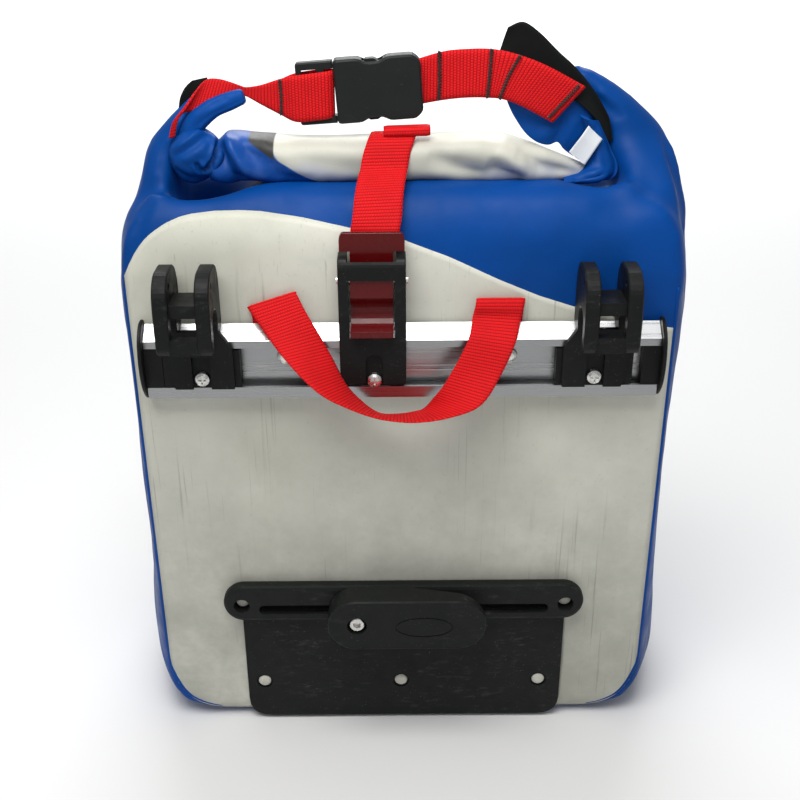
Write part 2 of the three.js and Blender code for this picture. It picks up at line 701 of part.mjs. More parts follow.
// ---- Lower fitting ------------------------------------------------------------------------

function backingPlate() {
  const shape = outline([
    [-PLATE_HALF, 2.5, 15], [PLATE_HALF, 2.5, 15], [PLATE_HALF, 113, 3], [-PLATE_HALF, 113, 3],
  ]);
  const sheet = prism('y', shape, PLATE_FRONT, PLATE_BACK, { bevel: 0.4, segments: 5 });
  const holes = Object.values(PLATE_RIVETS).flatMap((x) => [
    rod(x, PLATE_RIVET_Z, 5.6, -4, -1.2, 24),
    rod(x, PLATE_RIVET_Z, 2.3, -4, 2),
  ]);
  const trackHoles = [-1, 1].map((side) => rod(side * TRACK_RIVET_X, TRACK_RIVET_Z, 2.3, -4, 2));
  return cut(sheet, ...holes, ...trackHoles);
}

function lowerTrack() {
  const centre = TRACK_HALF - TRACK_RADIUS;
  const bar = stadium(-centre, TRACK_Z, 2 * centre, TRACK_RADIUS);
  const rounded = { bevel: 2.6, segments: 14, bevelSegments: 2 };
  const body = prism('y', bar, TRACK_FRONT, PLATE_FRONT - GAP, rounded);
  const slotEnd = SLOT_HALF - SLOT_RADIUS;
  const slotShape = stadium(-slotEnd, SLOT_Z, 2 * slotEnd, SLOT_RADIUS);
  const slot = prism('y', slotShape, TRACK_FRONT - 2, 2, { segments: 6 });
  const channel = block(-98, 98, -8.6, 2, 93, 107.6);
  const ends = [-1, 1].flatMap((side) => [
    rod(side * TRACK_RIVET_X, TRACK_RIVET_Z, 5.3, -15, -5.6, 24),
    rod(side * TRACK_RIVET_X, TRACK_RIVET_Z, 2.3, -15, 2),
  ]);
  return cut(body, slot, channel, ...ends);
}

// A round-ended arm that thins towards its free end, so that the rack's stay slips in behind it.
function stayArm() {
  const back = TRACK_FRONT - 0.4;
  const bar = stadium(ARM_PIVOT_X, SLOT_Z, ARM_REACH, ARM_RADIUS);
  const face = prism('y', bar, ARM_FRONT, back, { bevel: 0.9, segments: 14 });
  const plan = prism('z', outline([
    [-60, ARM_FRONT - 1], [60, ARM_FRONT - 1], [60, -25.6], [-4, back, 4], [-60, back],
  ]), 70, 130);
  const recess = rod(ARM_PIVOT_X, SLOT_Z, 6.4, -32, -24.6, 28);
  const bore = rod(ARM_PIVOT_X, SLOT_Z, 3.1, -32, -10, 20);
  const badge = (a, b) => {
    const shape = new THREE.Shape();
    shape.absellipse(13, SLOT_Z - 1, a, b, 0, Math.PI * 2, false);
    return shape;
  };
  const ring = badge(18.6, 7.8);
  ring.holes.push(badge(17.6, 6.8));
  const engraving = prism('y', ring, ARM_FRONT - 1, ARM_FRONT + 0.5, { segments: 14 });
  return cut(common(face, plan), recess, bore, engraving);
}

function armBolt() {
  const bolt = turned(ARM_PIVOT_X, SLOT_Z, [
    [0, -28.6], [4.4, -28.6], [4.9, -28.2], [4.9, -24.8], [2.9, -24.8], [2.9, -4.6], [0, -4.4],
  ], 20);
  const socket = new THREE.CylinderGeometry(2.7, 2.7, 5, 6);
  socket.translate(ARM_PIVOT_X, -28.8, SLOT_Z);
  return cut(bolt, toSolid(socket));
}

function armNut() {
  const plate = block(ARM_PIVOT_X - 8, ARM_PIVOT_X + 8, -8.2, -4.6, 93.6, 107);
  return cut(plate, rod(ARM_PIVOT_X, SLOT_Z, 3.1, -12, 0, 20));
}

function lowerPieces() {
  const plateRivets = Object.entries(PLATE_RIVETS).map(([side, x]) => (
    piece(`plate_rivet_${side}`, rivet(x, PLATE_RIVET_Z, 4.3, -1.4, 1.4), PLASTIC_WHITE)
  ));
  return [
    piece('backing_plate', backingPlate(), PLASTIC_BLACK),
    piece('lower_track', lowerTrack(), PLASTIC_BLACK),
    piece('track_rivet_left', rivet(-TRACK_RIVET_X, TRACK_RIVET_Z, 4.3, -5.9, 1.4), PLASTIC_WHITE),
    piece('track_rivet_right', rivet(TRACK_RIVET_X, TRACK_RIVET_Z, 4.3, -5.9, 1.4), PLASTIC_WHITE),
    ...plateRivets,
    piece('stay_arm', stayArm(), PLASTIC_BLACK),
    piece('arm_bolt', armBolt(), STEEL),
    piece('arm_nut', armNut(), STEEL),
  ];
}

// ---- Assembly -----------------------------------------------------------------------------

const pannier = new THREE.Group();
pannier.position.y = -DEPTH_CENTRE;
pannier.add(
  ...bagPieces(),
  ...rollPieces(),
  ...bucklePieces(),
  ...railPieces(),
  ...hookPieces(),
  ...lockPieces(),
  ...lowerPieces(),
);

export default pannier;
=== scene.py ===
"""Looks of a roll-top pannier bag: cloth body, rolled mouth, webbing, clamp rail and hooks.

Every piece is made in metres in the row frame and rides on one of the frame's bodies. Sizes are
kept in millimetres on the bag's own drawing, where x = 0 is the middle of the rail, y = 0 the side
that hangs on the rack and z = 0 the underside.
"""

from __future__ import annotations

import logging
import math
from dataclasses import dataclass
from enum import Enum
from typing import Callable, Iterable, Optional, Sequence

import bmesh
import bpy
from mathutils import Matrix, Vector, noise
from mathutils.bvhtree import BVHTree


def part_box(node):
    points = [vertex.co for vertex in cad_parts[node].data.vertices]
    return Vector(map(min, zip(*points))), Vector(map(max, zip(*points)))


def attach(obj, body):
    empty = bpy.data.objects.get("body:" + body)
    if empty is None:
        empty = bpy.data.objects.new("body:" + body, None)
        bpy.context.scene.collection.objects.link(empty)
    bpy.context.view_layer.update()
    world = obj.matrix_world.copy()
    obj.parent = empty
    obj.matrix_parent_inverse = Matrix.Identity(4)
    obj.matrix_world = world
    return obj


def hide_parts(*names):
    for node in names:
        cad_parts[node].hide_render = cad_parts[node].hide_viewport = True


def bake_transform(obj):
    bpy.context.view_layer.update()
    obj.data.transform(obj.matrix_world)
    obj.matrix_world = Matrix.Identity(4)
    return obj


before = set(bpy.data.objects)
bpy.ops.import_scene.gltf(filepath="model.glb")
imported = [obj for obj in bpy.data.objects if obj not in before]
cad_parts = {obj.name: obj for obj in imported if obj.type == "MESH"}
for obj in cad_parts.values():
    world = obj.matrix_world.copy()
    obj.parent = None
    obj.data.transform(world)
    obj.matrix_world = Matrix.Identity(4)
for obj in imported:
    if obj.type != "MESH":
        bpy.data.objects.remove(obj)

LOG = logging.getLogger("pannier")
MM = 0.001
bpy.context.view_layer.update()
RACK_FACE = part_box("front_panel")[0].y
Point = Sequence[float]


def at(x: float, y: float, z: float) -> Vector:
    """A point of the bag's drawing, in millimetres, as a point of the row frame in metres."""
    return Vector((x * MM, RACK_FACE + y * MM, z * MM))


def smoothstep(low: float, high: float, value: float) -> float:
    """Rises from 0 at low to 1 at high with a soft start and end."""
    t = min(1.0, max(0.0, (value - low) / (high - low)))
    return t * t * (3.0 - 2.0 * t)


def along(stations: Sequence[Point], value: float) -> float:
    """Reads a curve given as (position, height) stations, with straight runs between them.

    Args:
        stations: The stations, in order of position.
        value: The position to read at; past the ends the curve stays level.

    Returns:
        The height there.
    """
    if value <= stations[0][0]:
        return stations[0][1]
    for (a, low), (b, high) in zip(stations, stations[1:]):
        if value <= b:
            return low + (high - low) * (value - a) / (b - a)
    return stations[-1][1]


def spline(points: Sequence[Sequence[float]], count: int) -> list[list[float]]:
    """Samples a Catmull-Rom curve through points of any dimension.

    Args:
        points: The stations that the curve passes through.
        count: How many samples to take, ends included.

    Returns:
        The samples, each a list as long as one station.
    """
    last = len(points) - 1
    made = []
    for i in range(count):
        t = i / (count - 1) * last
        k = min(int(t), last - 1)
        f = t - k
        p0, p1, p2, p3 = (points[min(last, max(0, k + d))] for d in (-1, 0, 1, 2))
        made.append([
            0.5 * (2 * b + (c - a) * f + (2 * a - 5 * b + 4 * c - d) * f * f
                   + (3 * b - a - 3 * c + d) * f ** 3)
            for a, b, c, d in zip(p0, p1, p2, p3)
        ])
    return made


# ---- Meshes -------------------------------------------------------------------------------


def new_piece(name: str, verts: Iterable[Point],
              faces: Iterable[Sequence[int]]) -> bpy.types.Object:
    """Makes a smooth-shaded mesh object and puts it in the scene.

    Args:
        name: The object's name.
        verts: Its vertices, in metres.
        faces: Its faces, as rows of vertex numbers.

    Returns:
        The object.
    """
    mesh = bpy.data.meshes.new(name)
    mesh.from_pydata([tuple(v) for v in verts], [], [tuple(f) for f in faces])
    mesh.validate()
    for polygon in mesh.polygons:
        polygon.use_smooth = True
    made = bpy.data.objects.new(name, mesh)
    bpy.context.scene.collection.objects.link(made)
    return made


def face_out(piece: bpy.types.Object) -> None:
    """Turns every face of a closed mesh outwards.

    Args:
        piece: The piece with the mesh.
    """
    work = bmesh.new()
    work.from_mesh(piece.data)
    bmesh.ops.recalc_face_normals(work, faces=work.faces)
    work.to_mesh(piece.data)
    work.free()


def rings(name: str, loops: Sequence[Sequence[Vector]]) -> bpy.types.Object:
    """Skins a row of closed loops of equal count into a closed mesh, with a fan at each end.

    Args:
        name: The object's name.
        loops: The loops, each a ring of points in metres.

    Returns:
        The closed mesh, with its faces turned outwards.
    """
    count = len(loops[0])
    verts = [p for loop in loops for p in loop]
    faces = []
    for i in range(len(loops) - 1):
        for j in range(count):
            k = (j + 1) % count
            faces.append((i * count + j, i * count + k, (i + 1) * count + k, (i + 1) * count + j))
    for loop, base, flip in ((loops[0], 0, True), (loops[-1], (len(loops) - 1) * count, False)):
        verts.append(sum(loop, Vector()) / count)
        hub = len(verts) - 1
        for j in range(count):
            k = (j + 1) % count
            faces.append((base + k, base + j, hub) if flip else (base + j, base + k, hub))
    made = new_piece(name, verts, faces)
    face_out(made)
    return made


def apply_modifiers(piece: bpy.types.Object) -> None:
    """Bakes the modifiers of a piece into its mesh.

    Args:
        piece: The piece; its modifiers are gone afterwards.
    """
    graph = bpy.context.evaluated_depsgraph_get()
    mesh = bpy.data.meshes.new_from_object(piece.evaluated_get(graph))
    piece.modifiers.clear()
    piece.data = mesh


def merge(name: str, parts: Sequence[bpy.types.Object]) -> bpy.types.Object:
    """Joins the meshes of several scratch pieces into one new piece and removes them.

    Args:
        name: The new piece's name.
        parts: The scratch pieces.

    Returns:
        The joined piece.
    """
    work = bmesh.new()
    for part in parts:
        work.from_mesh(part.data)
    mesh = bpy.data.meshes.new(name)
    work.to_mesh(mesh)
    work.free()
    for part in parts:
        bpy.data.objects.remove(part)
    made = bpy.data.objects.new(name, mesh)
    bpy.context.scene.collection.objects.link(made)
    return made


def remesh(piece: bpy.types.Object, voxel: float, smooth: int = 4) -> None:
    """Gives a piece one even skin and relaxes it.

    Args:
        piece: The closed mesh or meshes to skin.
        voxel: The size of the skin's faces, in millimetres.
        smooth: How many rounds of smoothing follow.
    """
    skin = piece.modifiers.new("skin", "REMESH")
    skin.mode = "VOXEL"
    skin.voxel_size = voxel * MM
    skin.use_smooth_shade = True
    relax = piece.modifiers.new("relax", "SMOOTH")
    relax.iterations = smooth
    relax.factor = 0.5
    apply_modifiers(piece)


def displace(piece: bpy.types.Object, amount: Callable[[Vector, Vector], float]) -> None:
    """Moves each vertex of a piece along its normal.

    Args:
        piece: The piece to shape.
        amount: Gives the move in millimetres, from the point in drawing millimetres and the normal.
    """
    normals = [v.normal.copy() for v in piece.data.vertices]
    for vertex, normal in zip(piece.data.vertices, normals):
        spot = Vector((vertex.co.x, vertex.co.y - RACK_FACE, vertex.co.z)) / MM
        vertex.co += normal * (amount(spot, normal) * MM)
    piece.data.update()


def refine(piece: bpy.types.Object) -> None:
    """Adds one level of subdivision surface, so that the outline stays smooth close up.

    Args:
        piece: The piece.
    """
    fine = piece.modifiers.new("fine", "SUBSURF")
    fine.render_levels = 1
    fine.levels = 1


def thicken(piece: bpy.types.Object, thickness: float, offset: float) -> None:
    """Gives an open sheet its thickness.

    Args:
        piece: The open sheet.
        thickness: The cloth's thickness, in millimetres.
        offset: -1 to grow behind the face, 0 to grow to both sides.
    """
    thick = piece.modifiers.new("thick", "SOLIDIFY")
    thick.thickness = thickness * MM
    thick.offset = offset
    apply_modifiers(piece)


def grid_sheet(name: str, columns: int, rows: int,
               place: Callable[[int, int], Vector]) -> bpy.types.Object:
    """Makes an open sheet on a grid.

    Args:
        name: The sheet's name.
        columns: The number of faces along it.
        rows: The number of faces across it.
        place: Gives the point, in metres, at a column and a row.

    Returns:
        The open sheet.
    """
    verts = [place(i, j) for i in range(columns + 1) for j in range(rows + 1)]
    faces = []
    for i in range(columns):
        for j in range(rows):
            a = i * (rows + 1) + j
            faces.append((a, a + rows + 1, a + rows + 2, a + 1))
    return new_piece(name, verts, faces)


def wander(point: Vector, scale: float, seed: float = 0.0) -> float:
    """Smooth noise from -1 to 1 that repeats about every scale millimetres."""
    return noise.noise(point / scale + Vector((seed, seed * 1.7, -seed)))


@dataclass(frozen=True)
class Crease:
    """A fold line in cloth: a furrow with a soft ridge beside it.

    Attributes:
        path: The points that the fold passes, in drawing millimetres.
        depth: How deep the furrow is, in millimetres; negative raises a ridge.
        width: How far the fold reaches to each side, in millimetres.
    """

    path: tuple[Point, ...]
    depth: float
    width: float

    def push(self, point: Vector) -> float:
        """How far the fold moves a point of the surface.

        Args:
            point: The point, in drawing millimetres.

        Returns:
            The move along the surface's normal, in millimetres.
        """
        nearest = 1e9
        share = 0.0
        spans = len(self.path) - 1
        for i in range(spans):
            a, b = Vector(self.path[i]), Vector(self.path[i + 1])
            run = b - a
            t = min(1.0, max(0.0, (point - a).dot(run) / run.length_squared))
            gap = (a + run * t - point).length
            if gap < nearest:
                nearest = gap
                share = (i + t) / spans
        if nearest > 4 * self.width:
            return 0.0
        r = nearest / self.width
        fade = min(1.0, 4 * share, 4 * (1 - share)) ** 0.5
        return -self.depth * fade * (math.exp(-r * r) - 0.35 * math.exp(-((r - 1.8) ** 2)))


def drawn(creases: Sequence[Crease]) -> Callable[[Vector, Vector], float]:
    """Folds drawn on the side of a piece that faces the rack, wherever that surface lies.

    Args:
        creases: The folds; only their x and z count.

    Returns:
        The displacement of the folds together.
    """
    flat = [Crease(tuple((x, 0, z) for x, _, z in crease.path), crease.depth, crease.width)
            for crease in creases]

    def push(point: Vector, normal: Vector) -> float:
        """How far the folds move a point along its normal, in millimetres.

        Args:
            point: The point, in drawing millimetres.
            normal: Its normal.

        Returns:
            The move; 0 where the surface faces away from the rack.
        """
        facing = smoothstep(0.15, -0.35, normal.y) if normal.y < 0.15 else 0.0
        place = Vector((point.x, 0, point.z))
        return facing * sum(crease.push(place) for crease in flat) if facing else 0.0

    return push


def creased(creases: Sequence[Crease]) -> Callable[[Vector, Vector], float]:
    """The displacement of a set of folds together."""
    return lambda point, normal: sum(crease.push(point) for crease in creases)


# ---- Materials ----------------------------------------------------------------------------

Colour = tuple[float, float, float]
# The spacing of the yarns under a coated cloth's face, in metres.
SCRIM_PITCH = 0.0016


class Shader:
    """A short way to write a material's nodes."""

    def __init__(self, name: str) -> None:
        """Starts an empty material with a principled surface."""
        self.material = bpy.data.materials.new(name)
        self.material.use_nodes = True
        self.tree = self.material.node_tree
        self.surface = self.tree.nodes["Principled BSDF"]
        self.place = self.tree.nodes.new("ShaderNodeTexCoord").outputs["Object"]

    def node(self, kind: str, **values: object) -> bpy.types.Node:
        """Adds a node and sets its plain properties.

        Args:
            kind: The node's type.
            **values: Its properties.

        Returns:
            The node.
        """
        made = self.tree.nodes.new(kind)
        for key, value in values.items():
            setattr(made, key, value)
        return made

    def feed(self, socket: bpy.types.NodeSocket, value: object) -> None:
        """Links an output to a socket, or sets the socket to a number or colour.

        Args:
            socket: The input socket.
            value: A node's output, a number or a colour.
        """
        if isinstance(value, bpy.types.NodeSocket):
            self.tree.links.new(value, socket)
        elif isinstance(value, tuple) and len(value) == 3 and socket.type == "RGBA":
            socket.default_value = (*value, 1.0)
        else:
            socket.default_value = value

    def set(self, **inputs: object) -> None:
        """Feeds the surface's sockets; an underscore in a name stands for a space."""
        for key, value in inputs.items():
            self.feed(self.surface.inputs[key.replace("_", " ")], value)

    def math(self, operation: str, a: object, b: object = 0.0) -> bpy.types.NodeSocket:
        """One step of arithmetic.

        Args:
            operation: The name of the step.
            a: Its first value.
            b: Its second value.

        Returns:
            The result.
        """
        made = self.node("ShaderNodeMath", operation=operation)
        for socket, value in zip(made.inputs, (a, b, 0.0)):
            self.feed(socket, value)
        return made.outputs[0]

    def scaled(self, factors: Point) -> bpy.types.NodeSocket:
        """The place on the piece, stretched by a factor along each axis.

        Args:
            factors: The factors for x, y and z.

        Returns:
            The stretched place.
        """
        made = self.node("ShaderNodeVectorMath", operation="MULTIPLY")
        self.feed(made.inputs[0], self.place)
        made.inputs[1].default_value = tuple(factors)
        return made.outputs[0]

    def parts(self,
              vector: Optional[bpy.types.NodeSocket] = None) -> tuple[bpy.types.NodeSocket, ...]:
        """The x, y and z of a vector, by default of the place on the piece.

        Args:
            vector: The vector.

        Returns:
            Its three parts.
        """
        made = self.node("ShaderNodeSeparateXYZ")
        self.feed(made.inputs[0], vector or self.place)
        return tuple(made.outputs)

    def noise(self, scale: float, detail: float = 3.0,
              vector: Optional[bpy.types.NodeSocket] = None,
              rough: float = 0.5) -> bpy.types.NodeSocket:
        """Cloudy noise from 0 to 1.

        Args:
            scale: How many clouds fit in a metre.
            detail: How many finer layers are laid over them.
            vector: Where to read it, by default the place on the piece.
            rough: How strong the finer layers are.

        Returns:
            The noise.
        """
        made = self.node("ShaderNodeTexNoise")
        self.feed(made.inputs["Vector"], vector or self.place)
        made.inputs["Scale"].default_value = scale
        made.inputs["Detail"].default_value = detail
        made.inputs["Roughness"].default_value = rough
        return made.outputs["Fac"]

    def range(self, value: object, low: float, high: float, out_low: float = 0.0,
              out_high: float = 1.0) -> bpy.types.NodeSocket:
        """Maps one range onto another with a soft start and end.

        Args:
            value: What is mapped.
            low: The value that gives out_low.
            high: The value that gives out_high.
            out_low: The result at and below low.
            out_high: The result at and above high.

        Returns:
            The mapped value.
        """
        made = self.node("ShaderNodeMapRange", interpolation_type="SMOOTHSTEP")
        for socket, number in zip(made.inputs, (value, low, high, out_low, out_high)):
            self.feed(socket, number)
        return made.outputs[0]

    def mix(self, share: object, a: object, b: object) -> bpy.types.NodeSocket:
        """Mixes two colours.

        Args:
            share: How much of the second colour shows, from 0 to 1.
            a: The first colour.
            b: The second colour.

        Returns:
            The mixed colour.
        """
        made = self.node("ShaderNodeMix", data_type="RGBA", blend_type="MIX")
        colours = [s for s in made.inputs if s.type == "RGBA"]
        self.feed(made.inputs[0], share)
        self.feed(colours[0], a)
        self.feed(colours[1], b)
        return [s for s in made.outputs if s.type == "RGBA"][0]

    def curve(self, value: bpy.types.NodeSocket, stations: Sequence[Point], low: float,
              high: float) -> bpy.types.NodeSocket:
        """Reads a curve through stations.

        Args:
            value: Where to read it.
            stations: Its (in, out) points, with in running from low to high.
            low: The first point's in.
            high: The last point's in.

        Returns:
            The curve's out.
        """
        made = self.node("ShaderNodeFloatCurve")
        share = self.math("DIVIDE", self.math("SUBTRACT", value, low), high - low)
        self.feed(made.inputs["Value"], share)
        line = made.mapping.curves[0]
        spots = [((x - low) / (high - low), y) for x, y in stations]
        for point, spot in zip((line.points[0], line.points[-1]), (spots[0], spots[-1])):
            point.location = spot
        for spot in spots[1:-1]:
            line.points.new(*spot)
        made.mapping.update()
        return made.outputs[0]

    def bump(self, height: object, depth: float, strength: float = 1.0,
             after: Optional[bpy.types.NodeSocket] = None) -> bpy.types.NodeSocket:
        """Relief of the surface.

        Args:
            height: The height, from 0 to 1.
            depth: The depth of the relief, in metres.
            strength: How strongly it shows.
            after: An earlier relief that this one lies on.

        Returns:
            The normal of the relief.
        """
        made = self.node("ShaderNodeBump")
        made.inputs["Strength"].default_value = strength
        made.inputs["Distance"].default_value = depth
        self.feed(made.inputs["Height"], height)
        if after is not None:
            self.feed(made.inputs["Normal"], after)
        return made.outputs[0]


@dataclass(frozen=True)
class Tarpaulin:
    """Coated cloth with a satin face, fine scrim underneath, dirt and rubbed lines.

    Attributes:
        name: The material's name.
        colour: The clean face.
        shade: The colour that handling and dirt pull it towards.
        dirt: How strong the dirt is, from 0 to 1.
        scratches: How strong the dark rubbed lines are, from 0 to 1.
        rough: The roughness of the face.
        shine: The strength of its reflections.
    """

    name: str
    colour: Colour
    shade: Colour
    dirt: float = 0.3
    scratches: float = 0.0
    rough: float = 0.42
    shine: float = 0.25

    def face(self, s: Shader) -> bpy.types.NodeSocket:
        """The colour of the cloth's face before dirt."""
        return s.mix(s.range(s.noise(9, 4), 0.35, 0.7), self.colour, self.shade)

    def material(self) -> bpy.types.Material:
        """Builds the material.

        Returns:
            The material.
        """
        s = Shader(self.name)
        colour = self.face(s)
        grime = s.range(s.noise(38, 6, rough=0.7), 0.45, 0.8, 0.0, self.dirt)
        colour = s.mix(grime, colour, tuple(c * 0.62 for c in self.shade))
        specks = s.range(s.noise(420, 2), 0.66, 0.76, 0.0, self.dirt * 0.7)
        colour = s.mix(specks, colour, tuple(c * 0.4 for c in self.shade))
        streaks = s.noise(1.0, 3, s.scaled((420, 420, 7)), rough=0.6)
        grain = s.noise(1.0, 2, s.scaled((900, 900, 40)))
        if self.scratches:
            # Darker towards the bottom, in blotches.
            _, _, height = s.parts()
            low_down = s.range(height, 0.05, 0.31, 0.8, 0.0)
            blotches = s.range(s.noise(13, 5, rough=0.7), 0.2, 0.7)
            darker_low_blotches = s.math("MULTIPLY", low_down, blotches)
            colour = s.mix(darker_low_blotches, colour, tuple(c * 0.62 for c in self.shade))
            lines = s.range(streaks, 0.6, 0.72, 0.0, self.scratches)
            where = s.range(s.noise(7, 3), 0.42, 0.62)
            colour = s.mix(s.math("MULTIPLY", lines, where), colour, (0.16, 0.15, 0.12))
            hair = s.noise(1.0, 2, s.scaled((900, 900, 6)), rough=0.4)
            fine = s.range(hair, 0.68, 0.76, 0.0, self.scratches * 0.5)
            patches = s.range(s.noise(16, 2), 0.5, 0.6)
            colour = s.mix(s.math("MULTIPLY", fine, patches), colour, (0.1, 0.1, 0.08))
        rough = s.range(s.noise(60, 5), 0.3, 0.75, self.rough - 0.07, self.rough + 0.12)
        across, _, up = s.parts(s.scaled((2 * math.pi / SCRIM_PITCH,) * 3))
        scrim = s.math("MULTIPLY", s.math("SINE", across), s.math("SINE", up))
        relief = s.bump(scrim, 0.00003, 0.35)
        relief = s.bump(s.noise(55, 4), 0.0005, 0.3, relief)
        relief = s.bump(grain, 0.00008, 0.25, relief)
        s.set(Base_Color=colour, Roughness=rough, Normal=relief, Specular_IOR_Level=self.shine)
        return s.material


@dataclass(frozen=True)
class RollTarpaulin(Tarpaulin):
    """The rolled mouth's cloth: a white field, a blue end and the corner of a dark print."""

    blue: Colour = (0.0008, 0.053, 0.262)
    print_grey: Colour = (0.028, 0.029, 0.028)

    def face(self, s: Shader) -> bpy.types.NodeSocket:
        """The roll's colour before dirt.

        Args:
            s: The material's shader.

        Returns:
            White cloth with a blue left end, a dark patch on its crest and blue shadows low down.
        """
        white = super().face(s)
        x, _, z = s.parts()
        border = ((0.370, 0.96), (0.3727, 0.89), (0.376, 0.78), (0.382, 0.64), (0.387, 0.53),
                  (0.4, 0.5))
        edge = s.curve(z, border, 0.370, 0.4)
        run = s.math("ADD", -0.105, s.math("MULTIPLY", edge, 0.064))
        past = s.math("SUBTRACT", x, run)
        blue = s.range(past, -0.0012, 0.0008, 1.0, 0.0)
        crest = s.range(s.math("ADD", z, s.math("MULTIPLY", x, 0.66)), 0.3372, 0.3388)
        patch_left = s.range(x, -0.0885, -0.0870)
        patch_right = s.range(x, -0.0735, -0.0725, 1.0, 0.0)
        patch = s.math("MULTIPLY", crest, s.math("MULTIPLY", patch_left, patch_right))
        shadow = s.range(z, 0.376, 0.389, 0.5, 0.0)
        tint = s.math("MULTIPLY", shadow, s.range(s.noise(26, 2), 0.4, 0.62))
        colour = s.mix(tint, white, (0.16, 0.2, 0.42))
        colour = s.mix(blue, colour, self.blue)
        return s.mix(patch, colour, self.print_grey)


@dataclass(frozen=True)
class Webbing:
    """Woven nylon strap: rows of short ribs across the strap, with a fuzzy sheen.

    Attributes:
        name: The material's name.
        colour: The yarn on top.
        deep: The yarn between the ribs, darkened as painted shade.
        row: The spacing of the ribs along the strap, in millimetres.
        column: The spacing of the yarns across it, in millimetres.
    """

    name: str
    colour: Colour
    deep: Colour
    row: float = 1.9
    column: float = 1.5

    def material(self) -> bpy.types.Material:
        """Builds the material; it reads the strap's own map, in metres across and along.

        Returns:
            The material.
        """
        s = Shader(self.name)
        strap = s.node("ShaderNodeUVMap", uv_map="strap").outputs[0]
        u, v, _ = s.parts(strap)
        row = s.math("DIVIDE", v, self.row * MM)
        shift = s.math("MULTIPLY", s.math("MODULO", s.math("FLOOR", row), 2.0), 0.5)
        column = s.math("ADD", s.math("DIVIDE", u, self.column * MM), shift)
        rib = s.math("ABSOLUTE", s.math("SINE", s.math("MULTIPLY", row, math.pi)))
        yarn = s.math("ABSOLUTE", s.math("SINE", s.math("MULTIPLY", column, math.pi)))
        crown = s.math("POWER", rib, 0.6)
        height = s.math("MULTIPLY", crown, s.math("ADD", 0.45, s.math("MULTIPLY", yarn, 0.55)))
        # Painted shade: the yarn is darker where it lies low between the ribs.
        colour = s.mix(s.range(height, 0.05, 0.75), self.deep, self.colour)
        grime = s.range(s.noise(70, 4), 0.4, 0.75, 0.0, 0.35)
        colour = s.mix(grime, colour, tuple(c * 0.6 for c in self.colour))
        fuzz = s.noise(2600, 2)
        relief = s.bump(height, 0.0004, 0.9)
        relief = s.bump(fuzz, 0.00012, 0.4, relief)
        s.set(Base_Color=colour, Roughness=s.range(fuzz, 0.3, 0.7, 0.62, 0.85), Normal=relief,
              Sheen_Weight=0.12, Sheen_Roughness=0.4, Specular_IOR_Level=0.18)
        tint = tuple(min(1.0, c * 1.4 + 0.08) for c in self.colour)
        s.surface.inputs["Sheen Tint"].default_value = (*tint, 1.0)
        return s.material


@dataclass(frozen=True)
class Moulded:
    """Injection-moulded plastic with a fine spark texture, scuffs and dust.

    Attributes:
        name: The material's name.
        colour: The plastic.
        rough: Its roughness.
        grain: The depth of the mould texture, in millimetres.
        dust: How much pale dust and scuffing shows, from 0 to 1.
        coat: The strength of a clear gloss.
        glow: The share of light that passes under the surface.
    """

    name: str
    colour: Colour
    rough: float = 0.45
    grain: float = 0.05
    dust: float = 0.3
    coat: float = 0.0
    glow: float = 0.0

    def material(self) -> bpy.types.Material:
        """Builds the material.

        Returns:
            The material.
        """
        s = Shader(self.name)
        scuff = s.noise(1.0, 4, s.scaled((110, 110, 320)), rough=0.7)
        scuffed = s.range(scuff, 0.52, 0.75, 0.0, self.dust)
        dusty = s.math("MULTIPLY", scuffed, s.range(s.noise(24, 3), 0.4, 0.65))
        pale = tuple(min(1.0, c * 1.6 + 0.05) for c in self.colour)
        colour = s.mix(dusty, self.colour, pale)
        motes = s.range(s.noise(900, 1), 0.72, 0.78, 0.0, self.dust * 0.8)
        colour = s.mix(motes, colour, tuple(min(1.0, c + 0.16) for c in self.colour))
        rough = s.range(s.noise(85, 5), 0.3, 0.75, self.rough - 0.08, self.rough + 0.14)
        relief = s.bump(s.noise(1700, 2), self.grain * MM, 0.35)
        relief = s.bump(s.noise(120, 3), 0.0002, 0.18, relief)
        s.set(Base_Color=colour, Roughness=rough, Normal=relief, Coat_Weight=self.coat,
              Coat_Roughness=0.15, Specular_IOR_Level=0.14)
        if self.glow:
            s.set(Subsurface_Weight=self.glow, Subsurface_Scale=0.002)
        return s.material


@dataclass(frozen=True)
class Metal:
    """Bare or plated metal.

    Attributes:
        name: The material's name.
        colour: The metal's tint.
        rough: Its mean roughness.
        drawn: Stretches the surface lines along each axis; small numbers make long lines.
        tarnish: How strong the dull patches are, from 0 to 1.
        upright_shade: How much darker the upright faces are painted than the upper ones, a painted
            shade, from 0 to 1.
    """

    name: str
    colour: Colour
    rough: float = 0.3
    drawn: Point = (6, 900, 900)
    tarnish: float = 0.2
    upright_shade: float = 0.0

    def material(self) -> bpy.types.Material:
        """Builds the material.

        Returns:
            The material.
        """
        s = Shader(self.name)
        lines = s.noise(1.0, 4, s.scaled(self.drawn), rough=0.65)
        cloud = s.noise(45, 5, rough=0.65)
        dull = s.range(cloud, 0.5, 0.8, 0.0, self.tarnish)
        colour = s.mix(s.range(lines, 0.3, 0.7), tuple(c * 0.86 for c in self.colour), self.colour)
        colour = s.mix(dull, colour, tuple(c * 0.5 for c in self.colour))
        # Painted shade: upright faces are darkened and upper faces kept bright, standing in for
        # light from above.
        if self.upright_shade:
            facing = s.node("ShaderNodeNewGeometry").outputs["Normal"]
            upright = s.range(s.parts(facing)[2], 0.2, 0.5, self.upright_shade, 0.0)
            colour = s.mix(upright, colour, tuple(c * 0.22 for c in self.colour))
        rough = s.math("ADD", s.range(lines, 0.25, 0.75, self.rough - 0.07, self.rough + 0.1),
                       s.math("MULTIPLY", dull, 0.25))
        relief = s.bump(lines, 0.00006, 0.3)
        s.set(Base_Color=colour, Metallic=1.0, Roughness=rough, Normal=relief)
        return s.material


